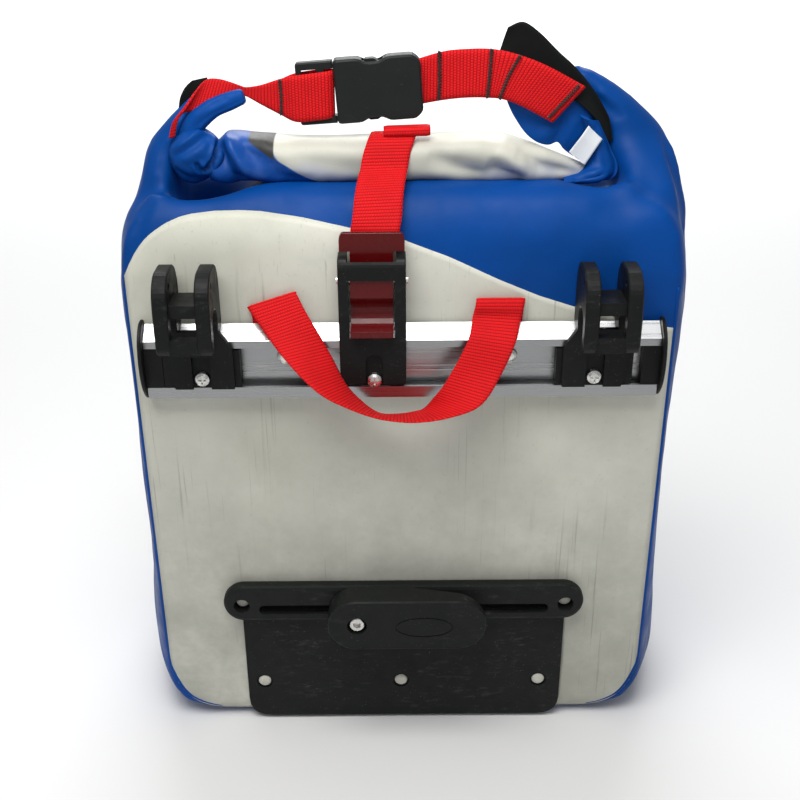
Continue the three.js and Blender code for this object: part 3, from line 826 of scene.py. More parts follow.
@dataclass(frozen=True)
class Thread:
    """Twisted sewing thread."""

    name: str
    colour: Colour

    def material(self) -> bpy.types.Material:
        """Builds the material.

        Returns:
            The material.
        """
        s = Shader(self.name)
        twist = s.noise(1500, 2)
        colour = s.mix(twist, self.colour, tuple(c * 0.45 for c in self.colour))
        s.set(Base_Color=colour, Roughness=0.75, Normal=s.bump(twist, 0.0002, 0.6),
              Sheen_Weight=0.2)
        return s.material


@dataclass(frozen=True)
class Backdrop:
    """A plain pale studio surface."""

    name: str
    colour: Colour

    def material(self) -> bpy.types.Material:
        """Builds the material.

        Returns:
            The material.
        """
        s = Shader(self.name)
        s.set(Base_Color=s.mix(s.noise(3, 2), self.colour, tuple(c * 0.99 for c in self.colour)),
              Roughness=0.9, Specular_IOR_Level=0.1)
        return s.material


class Look(Enum):
    """The finishes of the bag."""

    WHITE_TARP = Tarpaulin(
        "white_tarpaulin", (0.60, 0.60, 0.53), (0.50, 0.50, 0.43), 0.22, 0.5, 0.5,
    )
    BLUE_TARP = Tarpaulin(
        "blue_tarpaulin", (0.0008, 0.053, 0.262), (0.0006, 0.040, 0.192), 0.12, 0.0, 0.46, 0.1,
    )
    ROLL_TARP = RollTarpaulin(
        "roll_tarpaulin", (0.53, 0.53, 0.46), (0.44, 0.44, 0.385), 0.16, 0.0, 0.5,
    )
    LINING = Tarpaulin(
        "black_lining", (0.008, 0.009, 0.0085), (0.005, 0.006, 0.006), 0.1, 0.0, 0.7, 0.08,
    )
    # The second colour is painted shade for the yarn between the ribs.
    RED_WEB = Webbing("red_webbing", (0.66, 0.006, 0.009), (0.27, 0.001, 0.002))
    BLACK_PLASTIC = Moulded("black_plastic", (0.007, 0.0075, 0.0075), 0.45, 0.05, 0.3)
    BUCKLE_PLASTIC = Moulded("buckle_plastic", (0.013, 0.015, 0.015), 0.36, 0.03, 0.12)
    PLATE_PLASTIC = Moulded("plate_plastic", (0.009, 0.0105, 0.0095), 0.5, 0.09, 0.45)
    MAROON = Moulded("maroon_plastic", (0.085, 0.002, 0.0025), 0.3, 0.02, 0.15, 0.25, 0.12)
    RIVET_WHITE = Moulded("rivet_plastic", (0.50, 0.49, 0.43), 0.4, 0.03, 0.2)
    BOARD = Moulded("board_plastic", (0.25, 0.27, 0.29), 0.6, 0.05, 0.2)
    LABEL = Tarpaulin("label_tape", (0.66, 0.69, 0.72), (0.58, 0.6, 0.63), 0.05, 0.0, 0.55)
    # The last number paints shade on the rail's upright faces.
    RAIL = Metal("rail_aluminium", (0.86, 0.87, 0.88), 0.3, (5, 800, 800), 0.12, 0.75)
    ZINC = Metal("zinc_plate", (0.74, 0.73, 0.70), 0.26, (260, 260, 260), 0.3)
    BLACK_THREAD = Thread("black_thread", (0.012, 0.012, 0.012))
    FLOOR = Backdrop("studio_floor", (0.74, 0.74, 0.74))


class Wardrobe:
    """Makes each finish once and puts it on pieces."""

    def __init__(self) -> None:
        """Starts with nothing made."""
        self.made: dict[Look, bpy.types.Material] = {}

    def dress(self, piece: bpy.types.Object, look: Look) -> bpy.types.Object:
        """Gives a piece one finish all over.

        Args:
            piece: The piece.
            look: The finish.

        Returns:
            The same piece.
        """
        if look not in self.made:
            self.made[look] = look.value.material()
        piece.data.materials.clear()
        piece.data.materials.append(self.made[look])
        return piece


WARDROBE = Wardrobe()


def settle(piece: bpy.types.Object, look: Look, replaces: Sequence[str] = (),
           body: Optional[str] = "bag") -> bpy.types.Object:
    """Dresses a finished piece, puts it on its body and hides the CAD nodes that it stands for.

    Args:
        piece: The finished piece.
        look: Its finish.
        replaces: The CAD nodes that the piece stands for.
        body: The body it rides on, or None to leave it on no body.

    Returns:
        The same piece.
    """
    WARDROBE.dress(piece, look)
    if body is not None:
        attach(piece, body)
    if replaces:
        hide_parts(*replaces)
    LOG.info("%s: %d faces, %s", piece.name, len(piece.data.polygons), look.name.lower())
    return piece


# ---- Ribbons ------------------------------------------------------------------------------


@dataclass(frozen=True)
class Station:
    """One place along a strap.

    Attributes:
        centre: The strap's middle, in drawing millimetres.
        side: The direction across the strap.
        half: Half its width there, in millimetres.
    """

    centre: Point
    side: Point
    half: float


@dataclass
class Ribbon:
    """A flat strap or band through stations, with rounded edges and its own map.

    Attributes:
        name: The piece's name.
        stations: Where the strap passes.
        thick: Its thickness, in millimetres.
        cup: How far its middle stands proud of its edges, in millimetres.
        step: The length of one row of faces, in millimetres.
        columns: The number of faces across.
    """

    name: str
    stations: Sequence[Station]
    thick: float = 1.5
    cup: float = 0.0
    step: float = 1.6
    columns: int = 10

    def samples(self) -> list[tuple[Vector, Vector, float]]:
        """The centre, side and half width at even steps along the strap.

        Returns:
            One (centre, side, half width) for each row of vertices, in drawing millimetres.
        """
        rows = [[*s.centre, *s.side, s.half] for s in self.stations]
        length = sum((Vector(b[:3]) - Vector(a[:3])).length for a, b in zip(rows, rows[1:]))
        count = max(8, int(length / self.step))
        return [(Vector(r[:3]), Vector(r[3:6]).normalized(), r[6]) for r in spline(rows, count)]

    def build(self) -> bpy.types.Object:
        """Builds the strap as one closed mesh.

        Returns:
            The strap.
        """
        samples = self.samples()
        loops, runs, travelled = [], [], 0.0
        across = [-1 + 2 * j / self.columns for j in range(self.columns + 1)]
        for i, (centre, side, half) in enumerate(samples):
            ahead = samples[min(i + 1, len(samples) - 1)][0] - samples[max(i - 1, 0)][0]
            if i:
                travelled += (centre - samples[i - 1][0]).length
            normal = ahead.normalized().cross(side).normalized()
            loop = []
            for face in (1, -1):
                for w in (across if face > 0 else reversed(across)):
                    edge = self.thick / 2 * (1 - max(0.0, abs(w) - 0.88) / 0.12 * 0.55)
                    rise = self.cup * (1 - w * w)
                    spot = centre + side * (half * w) + normal * (face * edge + rise)
                    loop.append(at(*spot))
            loops.append(loop)
            runs.append((travelled, half))
        made = rings(self.name, loops)
        self.map(made, runs, across)
        return made

    def map(self, made: bpy.types.Object, runs: Sequence[tuple[float, float]],
            across: Sequence[float]) -> None:
        """Stores metres across and along the strap on each corner of its faces.

        Args:
            made: The strap.
            runs: For each row, how far along the strap it is and half its width, in millimetres.
            across: The places of one row's vertices across the strap, from -1 to 1.
        """
        count = 2 * len(across)
        widths = [*across, *reversed(across)]
        layer = made.data.uv_layers.new(name="strap")
        full = max(half for _, half in runs)
        for loop in made.data.loops:
            row, column = divmod(loop.vertex_index, count)
            if row >= len(runs):
                row, column = (0, 0) if loop.vertex_index % 2 else (len(runs) - 1, 0)
            layer.data[loop.index].uv = (widths[column] * full * MM, runs[row][0] * MM)


def seam(name: str, path: Sequence[Point], radius: float, stitch: float) -> bpy.types.Object:
    """A zigzag line of thread laid on a surface.

    Args:
        name: The piece's name.
        path: The points that the thread passes, in drawing millimetres.
        radius: The thread's radius, in millimetres.
        stitch: The length of one zigzag stitch, in millimetres.

    Returns:
        A closed tube.
    """
    length = sum((Vector(b) - Vector(a)).length for a, b in zip(path, path[1:]))
    count = max(6, int(length / (stitch / 2)) + 1)
    points = [Vector(p) for p in spline([list(p) for p in path], count)]
    run = (points[-1] - points[0]).normalized()
    sway = run.cross(Vector((0, 1, 0))).normalized()
    reach = 0.75
    points = [p + sway * (reach if i % 2 else -reach) for i, p in enumerate(points)]
    loops = []
    for i, point in enumerate(points):
        ahead = (points[min(i + 1, len(points) - 1)] - points[max(i - 1, 0)]).normalized()
        u = ahead.cross(Vector((0, 1, 0))).normalized()
        w = ahead.cross(u)
        loops.append([at(*(point + (u * math.cos(a) + w * math.sin(a)) * radius))
                      for a in (k * math.pi / 4 for k in range(8))])
    return rings(name, loops)


# ---- Cloth body ---------------------------------------------------------------------------


@dataclass
class BagBody:
    """The cloth bag: a blue skin with its raised mouth corners, and a pale panel on each side.

    Attributes:
        depth: Front to back, in millimetres.
        edge: Half the width along the welded front and back edges.
        bulge_left: How far the left gusset's curve reaches out, at heights (z, reach).
        bulge_right: The same for the right gusset.
        crown: The height where the walls turn in towards the mouth.
        fold: The height of the fold in front of the roll.
        voxel: The size of the skin's faces.
        base_corner: The radius of the base's corners, seen from the front.
        base_round: The radius of the rounding along the base.
        panel_half: Half the width of the pale panels.
        lip: The upper edge of the rack-side panel, as (x, z).
        back_lip: The upper edge of the outer panel.
    """

    depth: float = 155.0
    edge: float = 161.0
    bulge_left: tuple[Point, ...] = (
        (0, 40), (60, 39), (110, 30), (150, 25), (250, 25), (290, 28), (310, 28), (328, 17),
    )
    bulge_right: tuple[Point, ...] = (
        (0, 42), (60, 41), (110, 33), (150, 28), (200, 28), (250, 31), (294, 35), (312, 35),
        (328, 28),
    )
    crown: float = 326.0
    fold: float = 375.0
    voxel: float = 3.6
    base_corner: float = 40.0
    base_round: float = 15.0
    panel_half: float = 159.0
    lip: tuple[Point, ...] = (
        (-161, 322), (-157.5, 331), (-153, 339), (-147.5, 346.5), (-141.5, 352), (-134, 356.5),
        (-126.5, 359.5), (-120, 361), (-106, 362.5), (-91.5, 362.8), (-79, 362.2), (-57.5, 359.2),
        (-29, 353.8), (0, 347.7), (27.5, 337.3), (56.5, 323.5), (80, 313.5), (101, 306.5),
        (127, 299.4), (145, 296), (162, 292),
    )
    back_lip: tuple[Point, ...] = ((-160, 262), (-60, 250), (60, 266), (160, 300))

    def outline(self, z: float, inset: float) -> list[tuple[float, float]]:
        """The plan of the walls at a height, as points round the bag.

        Args:
            z: The height, in millimetres.
            inset: How far the outline is drawn in, in millimetres.

        Returns:
            Points (x, y), anticlockwise seen from above.
        """
        corner = self.base_corner
        lift = max(0.0, corner - z)
        edge = self.edge - (corner - math.sqrt(max(0.0, corner ** 2 - lift ** 2))) - inset
        front_steps, side_steps = 36, 24
        front = [(-edge + 2 * edge * i / front_steps, inset) for i in range(front_steps)]
        points = list(front)
        for i in range(side_steps):
            t = i / side_steps
            reach = along(self.bulge_right, z) * 2 * t * (1 - t)
            points.append((edge + reach, inset + (self.depth - 2 * inset) * t))
        points += [(-x, self.depth - y) for x, y in front]
        for i in range(side_steps):
            t = 1 - i / side_steps
            reach = along(self.bulge_left, z) * 2 * t * (1 - t)
            points.append((-edge - reach, inset + (self.depth - 2 * inset) * t))
        return points

    def wall(self) -> bpy.types.Object:
        """The walls, the base and the crown without its corners.

        Returns:
            A closed scratch mesh.
        """
        loops = []
        base, base_steps, wall_steps, crown_steps = self.base_round, 6, 39, 30
        for k in range(base_steps + 1):
            angle = math.pi / 2 * k / base_steps
            z = base * (1 - math.sin(angle))
            inset = base * (1 - math.cos(angle))
            loops.append([(x, y, z) for x, y in self.outline(z, inset)])
        loops = loops[::-1]
        for k in range(1, wall_steps + 1):
            z = base + (self.crown - base) * k / wall_steps
            loops.append([(x, y, z) for x, y in self.outline(z, 0.0)])
        top = loops[-1]
        for k in range(1, crown_steps):
            share = 1 - k / crown_steps
            loops.append([self.crown_point(x, y, share) for x, y, _ in top])
        loops = [[at(*p) for p in loop] for loop in loops]
        return rings("wall", loops)

    def crown_point(self, x: float, y: float, share: float) -> Point:
        """A point of the crown, with the hollows beside the mouth corners.

        Args:
            x: The place on the wall's top that the point lies inwards of, across.
            y: The same, front to back.
            share: 1 at the wall's top, 0 at the mouth.

        Returns:
            The point, in drawing millimetres.
        """
        inner = (max(-104.0, min(104.0, x * 0.6)), 47.0)
        px = inner[0] + (x - inner[0]) * share
        py = inner[1] + (y - inner[1]) * share
        full = math.sqrt(1 - share ** 4) if y < 47 else 1 - share ** 2
        z = self.crown + (self.fold - self.crown) * full
        z -= 3 * math.exp(-(share / 0.4) ** 2)
        hollow = math.exp(-((px + 117) / 20) ** 2 - ((py - 45) / 18) ** 2)
        sink = math.exp(-((px - 116) / 15) ** 2 - ((py - 44) / 15) ** 2)
        return px, py, z - 34 * hollow - 14 * sink

    def corner(self, slices: Sequence[Point]) -> bpy.types.Object:
        """A mouth corner standing up behind the roll.

        Args:
            slices: Its level slices, each (z, x, y, half x, half y) in drawing millimetres.

        Returns:
            A closed scratch mesh.
        """
        loops = []
        levels, points, lean = 26, 28, 0.25
        for z, x, y, half_x, half_y in spline(slices, levels):
            loop = []
            for k in range(points):
                a = 2 * math.pi * k / points
                u, v = half_x * math.cos(a), half_y * math.sin(a)
                loop.append(at(x + u, y + v, z + lean * v * 0.2))
            loops.append(loop)
        return rings("corner", loops)

    def skin(self) -> bpy.types.Object:
        """The whole blue skin, one even closed mesh with its folds.

        Returns:
            The skin.
        """
        left = self.corner((
            (318, -148, 62, 22, 40), (350, -146, 58, 15.5, 36), (372, -142.5, 58, 12, 29),
            (388, -139.5, 58, 11, 22), (402, -131.5, 56, 8, 15), (412, -124, 54, 5.5, 10),
            (419, -119, 53, 2.5, 5),
        ))
        right = self.corner((
            (318, 150, 62, 26, 44), (350, 150, 58, 22, 44), (370, 147, 60, 20.5, 38),
            (385, 142, 64, 21.8, 27), (397, 135.8, 66, 20.5, 18), (408, 126.5, 66, 18, 15),
            (419, 116, 65, 14.5, 11), (427, 108, 64, 9, 8), (432, 103, 63, 4, 5),
        ))
        made = merge("bag_skin", [self.wall(), left, right])
        remesh(made, self.voxel, 7)
        displace(made, creased(self.folds()))
        displace(made, drawn([
            Crease(((108, 0, 420), (117, 0, 412), (129, 0, 404)), 3.4, 2.6),
            Crease(((155, 0, 396), (163, 0, 372), (170, 0, 335), (171, 0, 300)), 2.4, 3.2),
            Crease(((-126, 0, 412), (-136, 0, 392), (-147, 0, 362), (-157, 0, 330)), 2.0, 4.0),
        ]))
        displace(made, self.ripple)
        refine(made)
        return made

    def folds(self) -> list[Crease]:
        """The folds that the hanging mouth and the welded seams pull into the cloth.

        Returns:
            The folds, in drawing millimetres.
        """
        return [
            Crease(((158, 66, 392), (170, 50, 352), (176, 40, 318)), 2.4, 4),
            Crease(((126, 30, 392), (130, 22, 372), (141, 12, 352)), -2.4, 8),
            Crease(((108, 12, 360), (135, 14, 366), (146, 26, 384)), 2.0, 8),
            Crease(((-128, 42, 408), (-136, 30, 384), (-144, 16, 352), (-156, 8, 330)), -3.0, 6),
            Crease(((-133, 36, 394), (-139, 24, 366), (-146, 12, 342)), 2.6, 4),
            Crease(((-158, 60, 352), (-170, 70, 300), (-172, 78, 230)), 2.2, 8),
            Crease(((-176, 84, 200), (-172, 60, 140), (-166, 30, 90)), 1.6, 9),
            Crease(((172, 70, 250), (176, 84, 190), (170, 96, 120)), 2.2, 9),
            Crease(((170, 110, 300), (176, 92, 230), (172, 60, 150)), 1.5, 8),
            Crease(((-150, 90, 380), (-160, 110, 340), (-158, 130, 290)), 2.6, 7),
            Crease(((140, 90, 388), (158, 112, 345), (156, 132, 290)), 2.6, 7),
            Crease(((-104, 84, 373), (-60, 92, 374), (-10, 86, 373)), 2.0, 6),
            Crease(((20, 96, 372), (66, 88, 373), (108, 92, 371)), 2.0, 6),
            Crease(((-110, 12, 356), (-70, 13, 362), (-20, 12, 358)), 0.7, 9),
        ]

    def ripple(self, point: Vector, normal: Vector) -> float:
        """Soft unevenness of the loaded cloth, still at the base and near the front's fittings.

        Args:
            point: A point of the skin, in drawing millimetres.
            normal: Its normal, which the unevenness doesn't depend on.

        Returns:
            The move along the normal, in millimetres.
        """
        loose = 1.0 if point.y > 8 else smoothstep(310, 350, point.z)
        loose *= smoothstep(2, 26, point.z)
        return loose * (1.3 * wander(point, 62, 3.1) + 0.5 * wander(point, 21, 8.2))

    def panel(self, name: str, skin: BVHTree, facing: int,
              lip: Sequence[Point]) -> bpy.types.Object:
        """A pale panel welded over the skin.

        Args:
            name: The piece's name.
            skin: The skin that the panel lies on.
            facing: -1 for the rack side, 1 for the outer side.
            lip: The panel's upper edge, as (x, z) stations.

        Returns:
            The panel, with an outline rounded at the base.
        """
        half, columns, rows, radius = self.panel_half, 96, 92, 42.0
        grid = []
        start = RACK_FACE - 0.15 if facing < 0 else RACK_FACE + self.depth * MM + 0.15
        for i in range(columns + 1):
            x = -half + 2 * half * i / columns
            past = max(0.0, abs(x) - (half - radius))
            low = 5.0 + radius - math.sqrt(max(0.0, radius ** 2 - past ** 2))
            high = along(lip, x)
            for j in range(rows + 1):
                z = low + (high - low) * j / rows
                origin = Vector((x * MM, start, z * MM))
                hit, normal, _, _ = skin.ray_cast(origin, Vector((0, -facing, 0)))
                if hit is None:
                    hit, normal, _, _ = skin.find_nearest(Vector((x * MM, RACK_FACE, z * MM)))
                grid.append(hit + normal * 0.5 * MM)
        faces = []
        for i in range(columns):
            for j in range(rows):
                a = i * (rows + 1) + j
                quad = (a, a + 1, a + rows + 2, a + rows + 1)
                faces.append(quad[::-1] if facing < 0 else quad)
        made = new_piece(name, grid, faces)
        thicken(made, 0.9, -1.0)
        return made

    def weld(self, name: str, skin: BVHTree, side: int) -> bpy.types.Object:
        """The raised welded edge that runs down one side of the rack-side panel.

        Args:
            name: The piece's name.
            skin: The skin that the edge lies on.
            side: -1 for the left side, 1 for the right.

        Returns:
            The edge, as a flattened tube.
        """
        loops = []
        path = ((160.4, 318), (160.6, 250), (160.6, 150), (160.2, 60), (157, 38), (147, 19),
                (128, 8))
        half, rise = 1.5, 0.75
        for x, z in spline([(side * x, z) for x, z in path], 90):
            hit, normal, _, _ = skin.find_nearest(at(x, 1.5, z))
            across = Vector((side, 0, 0)) - normal * side * normal.x
            across.normalize()
            loops.append([hit + across * (math.cos(a) * half * MM)
                          + normal * (math.sin(a) * rise * MM)
                          for a in (k * math.pi / 5 for k in range(10))])
        return rings(name, loops)

    def build(self) -> None:
        """Builds and settles the body's pieces."""
        skin = self.skin()
        bpy.context.view_layer.update()
        tree = BVHTree.FromObject(skin, bpy.context.evaluated_depsgraph_get())
        settle(skin, Look.BLUE_TARP, ("front_panel", "side_gusset", "back_panel"))
        front = self.panel("front_sheet", tree, -1, self.lip)
        settle(front, Look.WHITE_TARP)
        back = self.panel("back_sheet", tree, 1, self.back_lip)
        settle(back, Look.WHITE_TARP)
        for side, word in ((-1, "left"), (1, "right")):
            weld = self.weld(f"panel_weld_{word}", tree, side)
            settle(weld, Look.BLUE_TARP)


# ---- Rolled mouth -------------------------------------------------------------------------


@dataclass
class RolledMouth:
    """The mouth of the bag, rolled up, with its folded ends and stiff bands.

    Attributes:
        middle: The roll's centre, front to back, in millimetres.
        base: The height of its underside.
        squareness: The roll's section: 1 is an ellipse, and smaller numbers are boxier.
    """

    middle: float = 46.0
    base: float = 371.0
    squareness: float = 0.72

    def roll(self) -> bpy.types.Object:
        """The flattened roll, pinched at its left end and drawn to a point at its right.

        Returns:
            The roll, as one closed mesh.
        """
        crest = ((-112, 390), (-106, 394), (-101, 399.5), (-93, 399), (-86, 397.6), (-72, 396.4),
                 (-47, 395), (-29, 394.8), (0, 395.5), (17, 396), (46, 398), (60, 397), (69, 394),
                 (93, 385), (106, 379.5), (112, 377))
        depths = ((-112, 9), (-104, 11), (-98, 14.5), (-88, 16), (-70, 17), (20, 17), (70, 16),
                  (100, 9), (112, 3))
        loops = []
        rows, points, power = 130, 48, self.squareness
        for i in range(rows):
            x = -112 + 224 * i / (rows - 1)
            top = along(crest, x)
            half = (top - self.base) / 2
            deep = along(depths, x)
            loop = []
            for k in range(points):
                a = 2 * math.pi * k / points
                c, s = math.cos(a), math.sin(a)
                y = self.middle + deep * math.copysign(abs(c) ** power, c)
                z = self.base + half + half * math.copysign(abs(s) ** power, s)
                loop.append(at(x, y, z))
            loops.append(loop)
        made = rings("roll_cloth", loops)
        displace(made, creased([
            Crease(((-101, 40, 400), (-97, 32, 394), (-92, 30, 386), (-87, 29, 378),
                    (-78, 30, 373)), -3.2, 3.2),
            Crease(((-106, 38, 394), (-103, 36, 386), (-98, 36, 378), (-92, 36, 373)), 7.0, 4.5),
            Crease(((-90, 32, 394), (-80, 30, 386), (-66, 29, 379)), 2.2, 4),
            Crease(((-86, 30, 378), (-70, 29, 376), (-50, 29, 373)), 1.6, 3.5),
            Crease(((16, 30, 388), (34, 29, 381), (52, 29, 374)), 2.2, 4.5),
            Crease(((50, 30, 384), (60, 30, 377), (72, 32, 373)), 3.4, 4.5),
            Crease(((66, 32, 389), (82, 32, 381), (104, 36, 375)), 3.0, 5),
            Crease(((30, 32, 394), (58, 31, 388), (78, 34, 379)), -2.4, 6),
            Crease(((-60, 30, 386), (-30, 29, 381), (-10, 29, 377)), 1.2, 6),
            Crease(((-64, 60, 392), (0, 62, 390), (70, 60, 388)), 2.2, 3),
        ]))
        displace(made, lambda p, n: 0.9 * wander(p, 26, 1.4) + 0.4 * wander(p, 10, 5.0))
        refine(made)
        return made

    def bundle(self) -> bpy.types.Object:
        """The left end of the roll: layered cloth turned over on itself into a knot.

        Returns:
            The knot, as one closed mesh.
        """
        parts = []
        layers = ((15.4, 0.0, 0.0), (12.8, 0.5, 3.6), (9.6, 1.0, 6.4))
        rows, points = 30, 40
        for layer, (radius, tilt, shift) in enumerate(layers):
            loops = []
            for i in range(rows):
                lat = math.pi * (i + 0.5) / rows
                loop = []
                for k in range(points):
                    a = 2 * math.pi * k / points
                    wave = 1 + 0.05 * math.sin(2 * a + layer)
                    p = Vector((math.sin(lat) * math.cos(a) * 1.02,
                                math.sin(lat) * math.sin(a) * 0.86,
                                math.cos(lat))) * (radius * wave)
                    p.rotate(Matrix.Rotation(tilt, 3, "Y"))
                    loop.append(at(-119 + p.x + shift * 0.5, 42.5 + p.y - shift * 0.55,
                                   386.5 + p.z + shift * 0.35))
                loops.append(loop)
            parts.append(rings("layer", loops))
        made = merge("left_bundle", parts)
        remesh(made, 0.9, 3)
        displace(made, drawn([
            Crease(((-104.6, 30, 401), (-105, 30, 392), (-107.2, 30, 386), (-111, 30, 381.4),
                    (-115, 30, 379.4)), 3.6, 1.5),
            Crease(((-114, 30, 378), (-116, 30, 381), (-117.6, 30, 385)), 2.2, 1.3),
            Crease(((-132, 30, 390.5), (-121.3, 30, 397.1), (-110, 30, 405)), -1.8, 2.2),
            Crease(((-131, 30, 389), (-122, 30, 393.4), (-112, 30, 400)), 1.0, 2.6),
            Crease(((-131, 30, 381), (-123, 30, 375.5), (-112, 30, 374)), 1.2, 2.2),
        ]))
        displace(made, lambda p, n: 0.9 * wander(p, 13, 2.2) + 0.3 * wander(p, 5, 6.0))
        refine(made)
        return made

    def spout(self) -> bpy.types.Object:
        """The rolled tube of cloth that leaves the knot and ends under the strap.

        Returns:
            The tube, closed at both ends.
        """
        route = [(-121, 43, 386, 8.5), (-122.5, 43.5, 395.5, 7.4), (-118, 44, 405.5, 6.6),
                 (-109.5, 44.5, 412, 6.0), (-99, 44.5, 416.6, 5.4), (-89.6, 44.5, 419.8, 4.6)]
        loops = []
        rows, points = 46, 32
        samples = spline(route, rows)
        for i, (x, y, z, radius) in enumerate(samples):
            ahead = Vector(samples[min(i + 1, rows - 1)][:3]) - Vector(samples[max(i - 1, 0)][:3])
            ahead.normalize()
            u = ahead.cross(Vector((0, 1, 0))).normalized()
            w = ahead.cross(u)
            loop = []
            for k in range(points):
                a = 2 * math.pi * k / points
                turn = radius * (1 - 0.13 * (k / points)) * (0.86 if i > rows - 3 else 1.0)
                loop.append(at(*(Vector((x, y, z)) + u * (math.cos(a + 2.2) * turn)
                                 + w * (math.sin(a + 2.2) * turn * 0.9))))
            loops.append(loop)
        made = rings("left_spout", loops)
        displace(made, creased([
            Crease(((-124, 36, 393), (-117, 37, 399), (-108, 40, 404)), 2.0, 1.6),
            Crease(((-127, 36, 402), (-116, 37, 412), (-99, 41, 420)), 1.0, 1.6),
        ]))
        displace(made, lambda p, n: 0.45 * wander(p, 8, 4.4))
        refine(made)
        return made

    def flap(self) -> bpy.types.Object:
        """The blue cloth under the right strap, a double sheet hanging from the stiff band.

        Returns:
            The flap.
        """
        edge_low = ((57, 434), (60, 420), (64, 409), (71, 398), (79, 391), (87, 388.5), (93, 390),
                    (97, 385.5), (104, 381), (112, 381.5), (118, 384), (121, 389))
        edge_high = ((58, 438), (70, 437), (84, 430), (97, 421), (107, 413), (113, 405), (118, 398),
                     (122, 392))
        columns, rows = 59, 26
        low = spline(edge_low, columns + 1)
        high = spline(edge_high, columns + 1)

        def hang(i: int, j: int) -> Vector:
            """A point of the flap, bellied towards the rack between its edges.

            Args:
                i: The column.
                j: The row.

            Returns:
                The point, in metres.
            """
            t = j / rows
            x = low[i][0] + (high[i][0] - low[i][0]) * t
            z = low[i][1] + (high[i][1] - low[i][1]) * t
            belly = 3.2 * math.sin(math.pi * t) * math.sin(math.pi * i / columns)
            return at(x, 53.2 - belly * 0.7, z)

        made = grid_sheet("right_flap", columns, rows, hang)
        displace(made, creased([
            Crease(((66, 52, 406), (80, 51, 401), (97, 52, 404)), 2.0, 5),
            Crease(((88, 52, 389), (93, 52, 396), (98, 52, 408)), 1.6, 3.5),
            Crease(((104, 52, 384), (112, 52, 396), (116, 52, 404)), 2.2, 2.6),
        ]))
        displace(made, lambda p, n: 0.8 * wander(p, 14, 7.7))
        thicken(made, 2.2, 0.0)
        refine(made)
        return made

    def tuck(self) -> bpy.types.Object:
        """The mouth's blue right end, folded to a corner that the roll's tip is tucked into.

        Returns:
            The folded end.
        """
        edge_in = ((104, 407), (107.5, 400), (110, 391), (109, 381), (104, 375), (95, 372.4))
        edge_out = ((115, 403.5), (119, 396), (123, 388), (127.5, 377), (121.5, 370.6), (94, 369.6))
        columns, rows = 55, 22
        inner = spline(edge_in, columns + 1)
        outer = spline(edge_out, columns + 1)

        def fold(i: int, j: int) -> Vector:
            """A point of the tuck, rounded out more towards its lower corner.

            Args:
                i: The column.
                j: The row.

            Returns:
                The point, in metres.
            """
            s, t = i / columns, j / rows
            x = inner[i][0] + (outer[i][0] - inner[i][0]) * t
            z = inner[i][1] + (outer[i][1] - inner[i][1]) * t
            fullness = 4.5 + 3.0 * smoothstep(0.5, 0.8, s)
            belly = fullness * math.sin(math.pi * min(1.0, t * 1.15)) ** 0.8
            return at(x, 47.5 - 7.0 * smoothstep(0.35, 0.8, s) - belly, z)

        made = grid_sheet("right_tuck", columns, rows, fold)
        displace(made, creased([
            Crease(((112, 42, 402), (116, 40, 391), (121, 37, 378)), 1.8, 2.2),
            Crease(((123, 34, 378), (113, 33, 374), (100, 34, 372)), 1.6, 1.6),
        ]))
        displace(made, lambda p, n: 0.6 * wander(p, 9, 3.3))
        thicken(made, 1.8, 0.0)
        refine(made)
        return made

    def bands(self) -> None:
        """The stiff black bands sewn along the mouth, where they stick out of the roll."""
        right = [
            Station((58.6, 53.2, 448.0), (0.3, -0.05, 0.95), 7.6),
            Station((66, 52.8, 447.6), (0.3, -0.1, 0.95), 11.2),
            Station((74.5, 53.0, 442), (0.42, -0.1, 0.9), 11.2),
            Station((83.5, 52.6, 433), (0.56, -0.05, 0.82), 11.2),
            Station((94, 50.8, 426), (0.66, 0, 0.75), 9.6),
            Station((105.5, 49.8, 418.5), (0.72, 0, 0.69), 6.0),
            Station((113, 49.2, 410.5), (0.8, 0, 0.6), 4.4),
            Station((118.4, 48.8, 402.5), (0.9, 0, 0.43), 3.4),
            Station((121.6, 48.4, 391), (0.95, 0, 0.3), 2.6),
        ]
        band = Ribbon("mouth_band_right", right, 2.2, cup=-1.6, step=1.2, columns=18).build()
        settle(band, Look.LINING, ("right_mouth_band",))
        left = [
            Station((-127, 54, 406), (0.9, 0, 0.43), 3.0),
            Station((-123.6, 54, 413.5), (0.94, 0, 0.35), 6.0),
            Station((-120.4, 53.6, 419.5), (0.96, 0, 0.28), 7.6),
            Station((-117.6, 53.4, 424.5), (0.97, 0, 0.22), 7.0),
            Station((-115.8, 53.6, 427.6), (0.98, 0, 0.2), 4.4),
        ]
        band = Ribbon("mouth_band_left", left, 2.0, cup=0.6, step=0.9, columns=14).build()
        settle(band, Look.LINING, ("left_mouth_band",))

    def label(self) -> bpy.types.Object:
        """A blank care label sewn into the right end.

        Returns:
            The label.
        """
        stations = [
            Station((112.4, 40.6, 398.4), (-0.74, 0, 0.67), 5.8),
            Station((109, 38.6, 394), (-0.75, 0, 0.66), 5.8),
            Station((105.6, 37.8, 389.2), (-0.76, 0.05, 0.65), 5.9),
            Station((102, 37.6, 384), (-0.78, 0.1, 0.62), 6.0),
        ]
        return Ribbon("care_label_tape", stations, 0.5, cup=0.5, step=0.8, columns=12).build()

    def build(self) -> None:
        """Builds and settles the pieces of the mouth."""
        roll = settle(self.roll(), Look.ROLL_TARP, ("roll_closure",))
        bundle = settle(self.bundle(), Look.BLUE_TARP, ("left_roll_end",))
        spout = settle(self.spout(), Look.BLUE_TARP)
        flap = settle(self.flap(), Look.BLUE_TARP, ("right_roll_end",))
        tuck = settle(self.tuck(), Look.BLUE_TARP)
        self.bands()
        settle(self.label(), Look.LABEL, ("care_label",))


# ---- Webbing ------------------------------------------------------------------------------


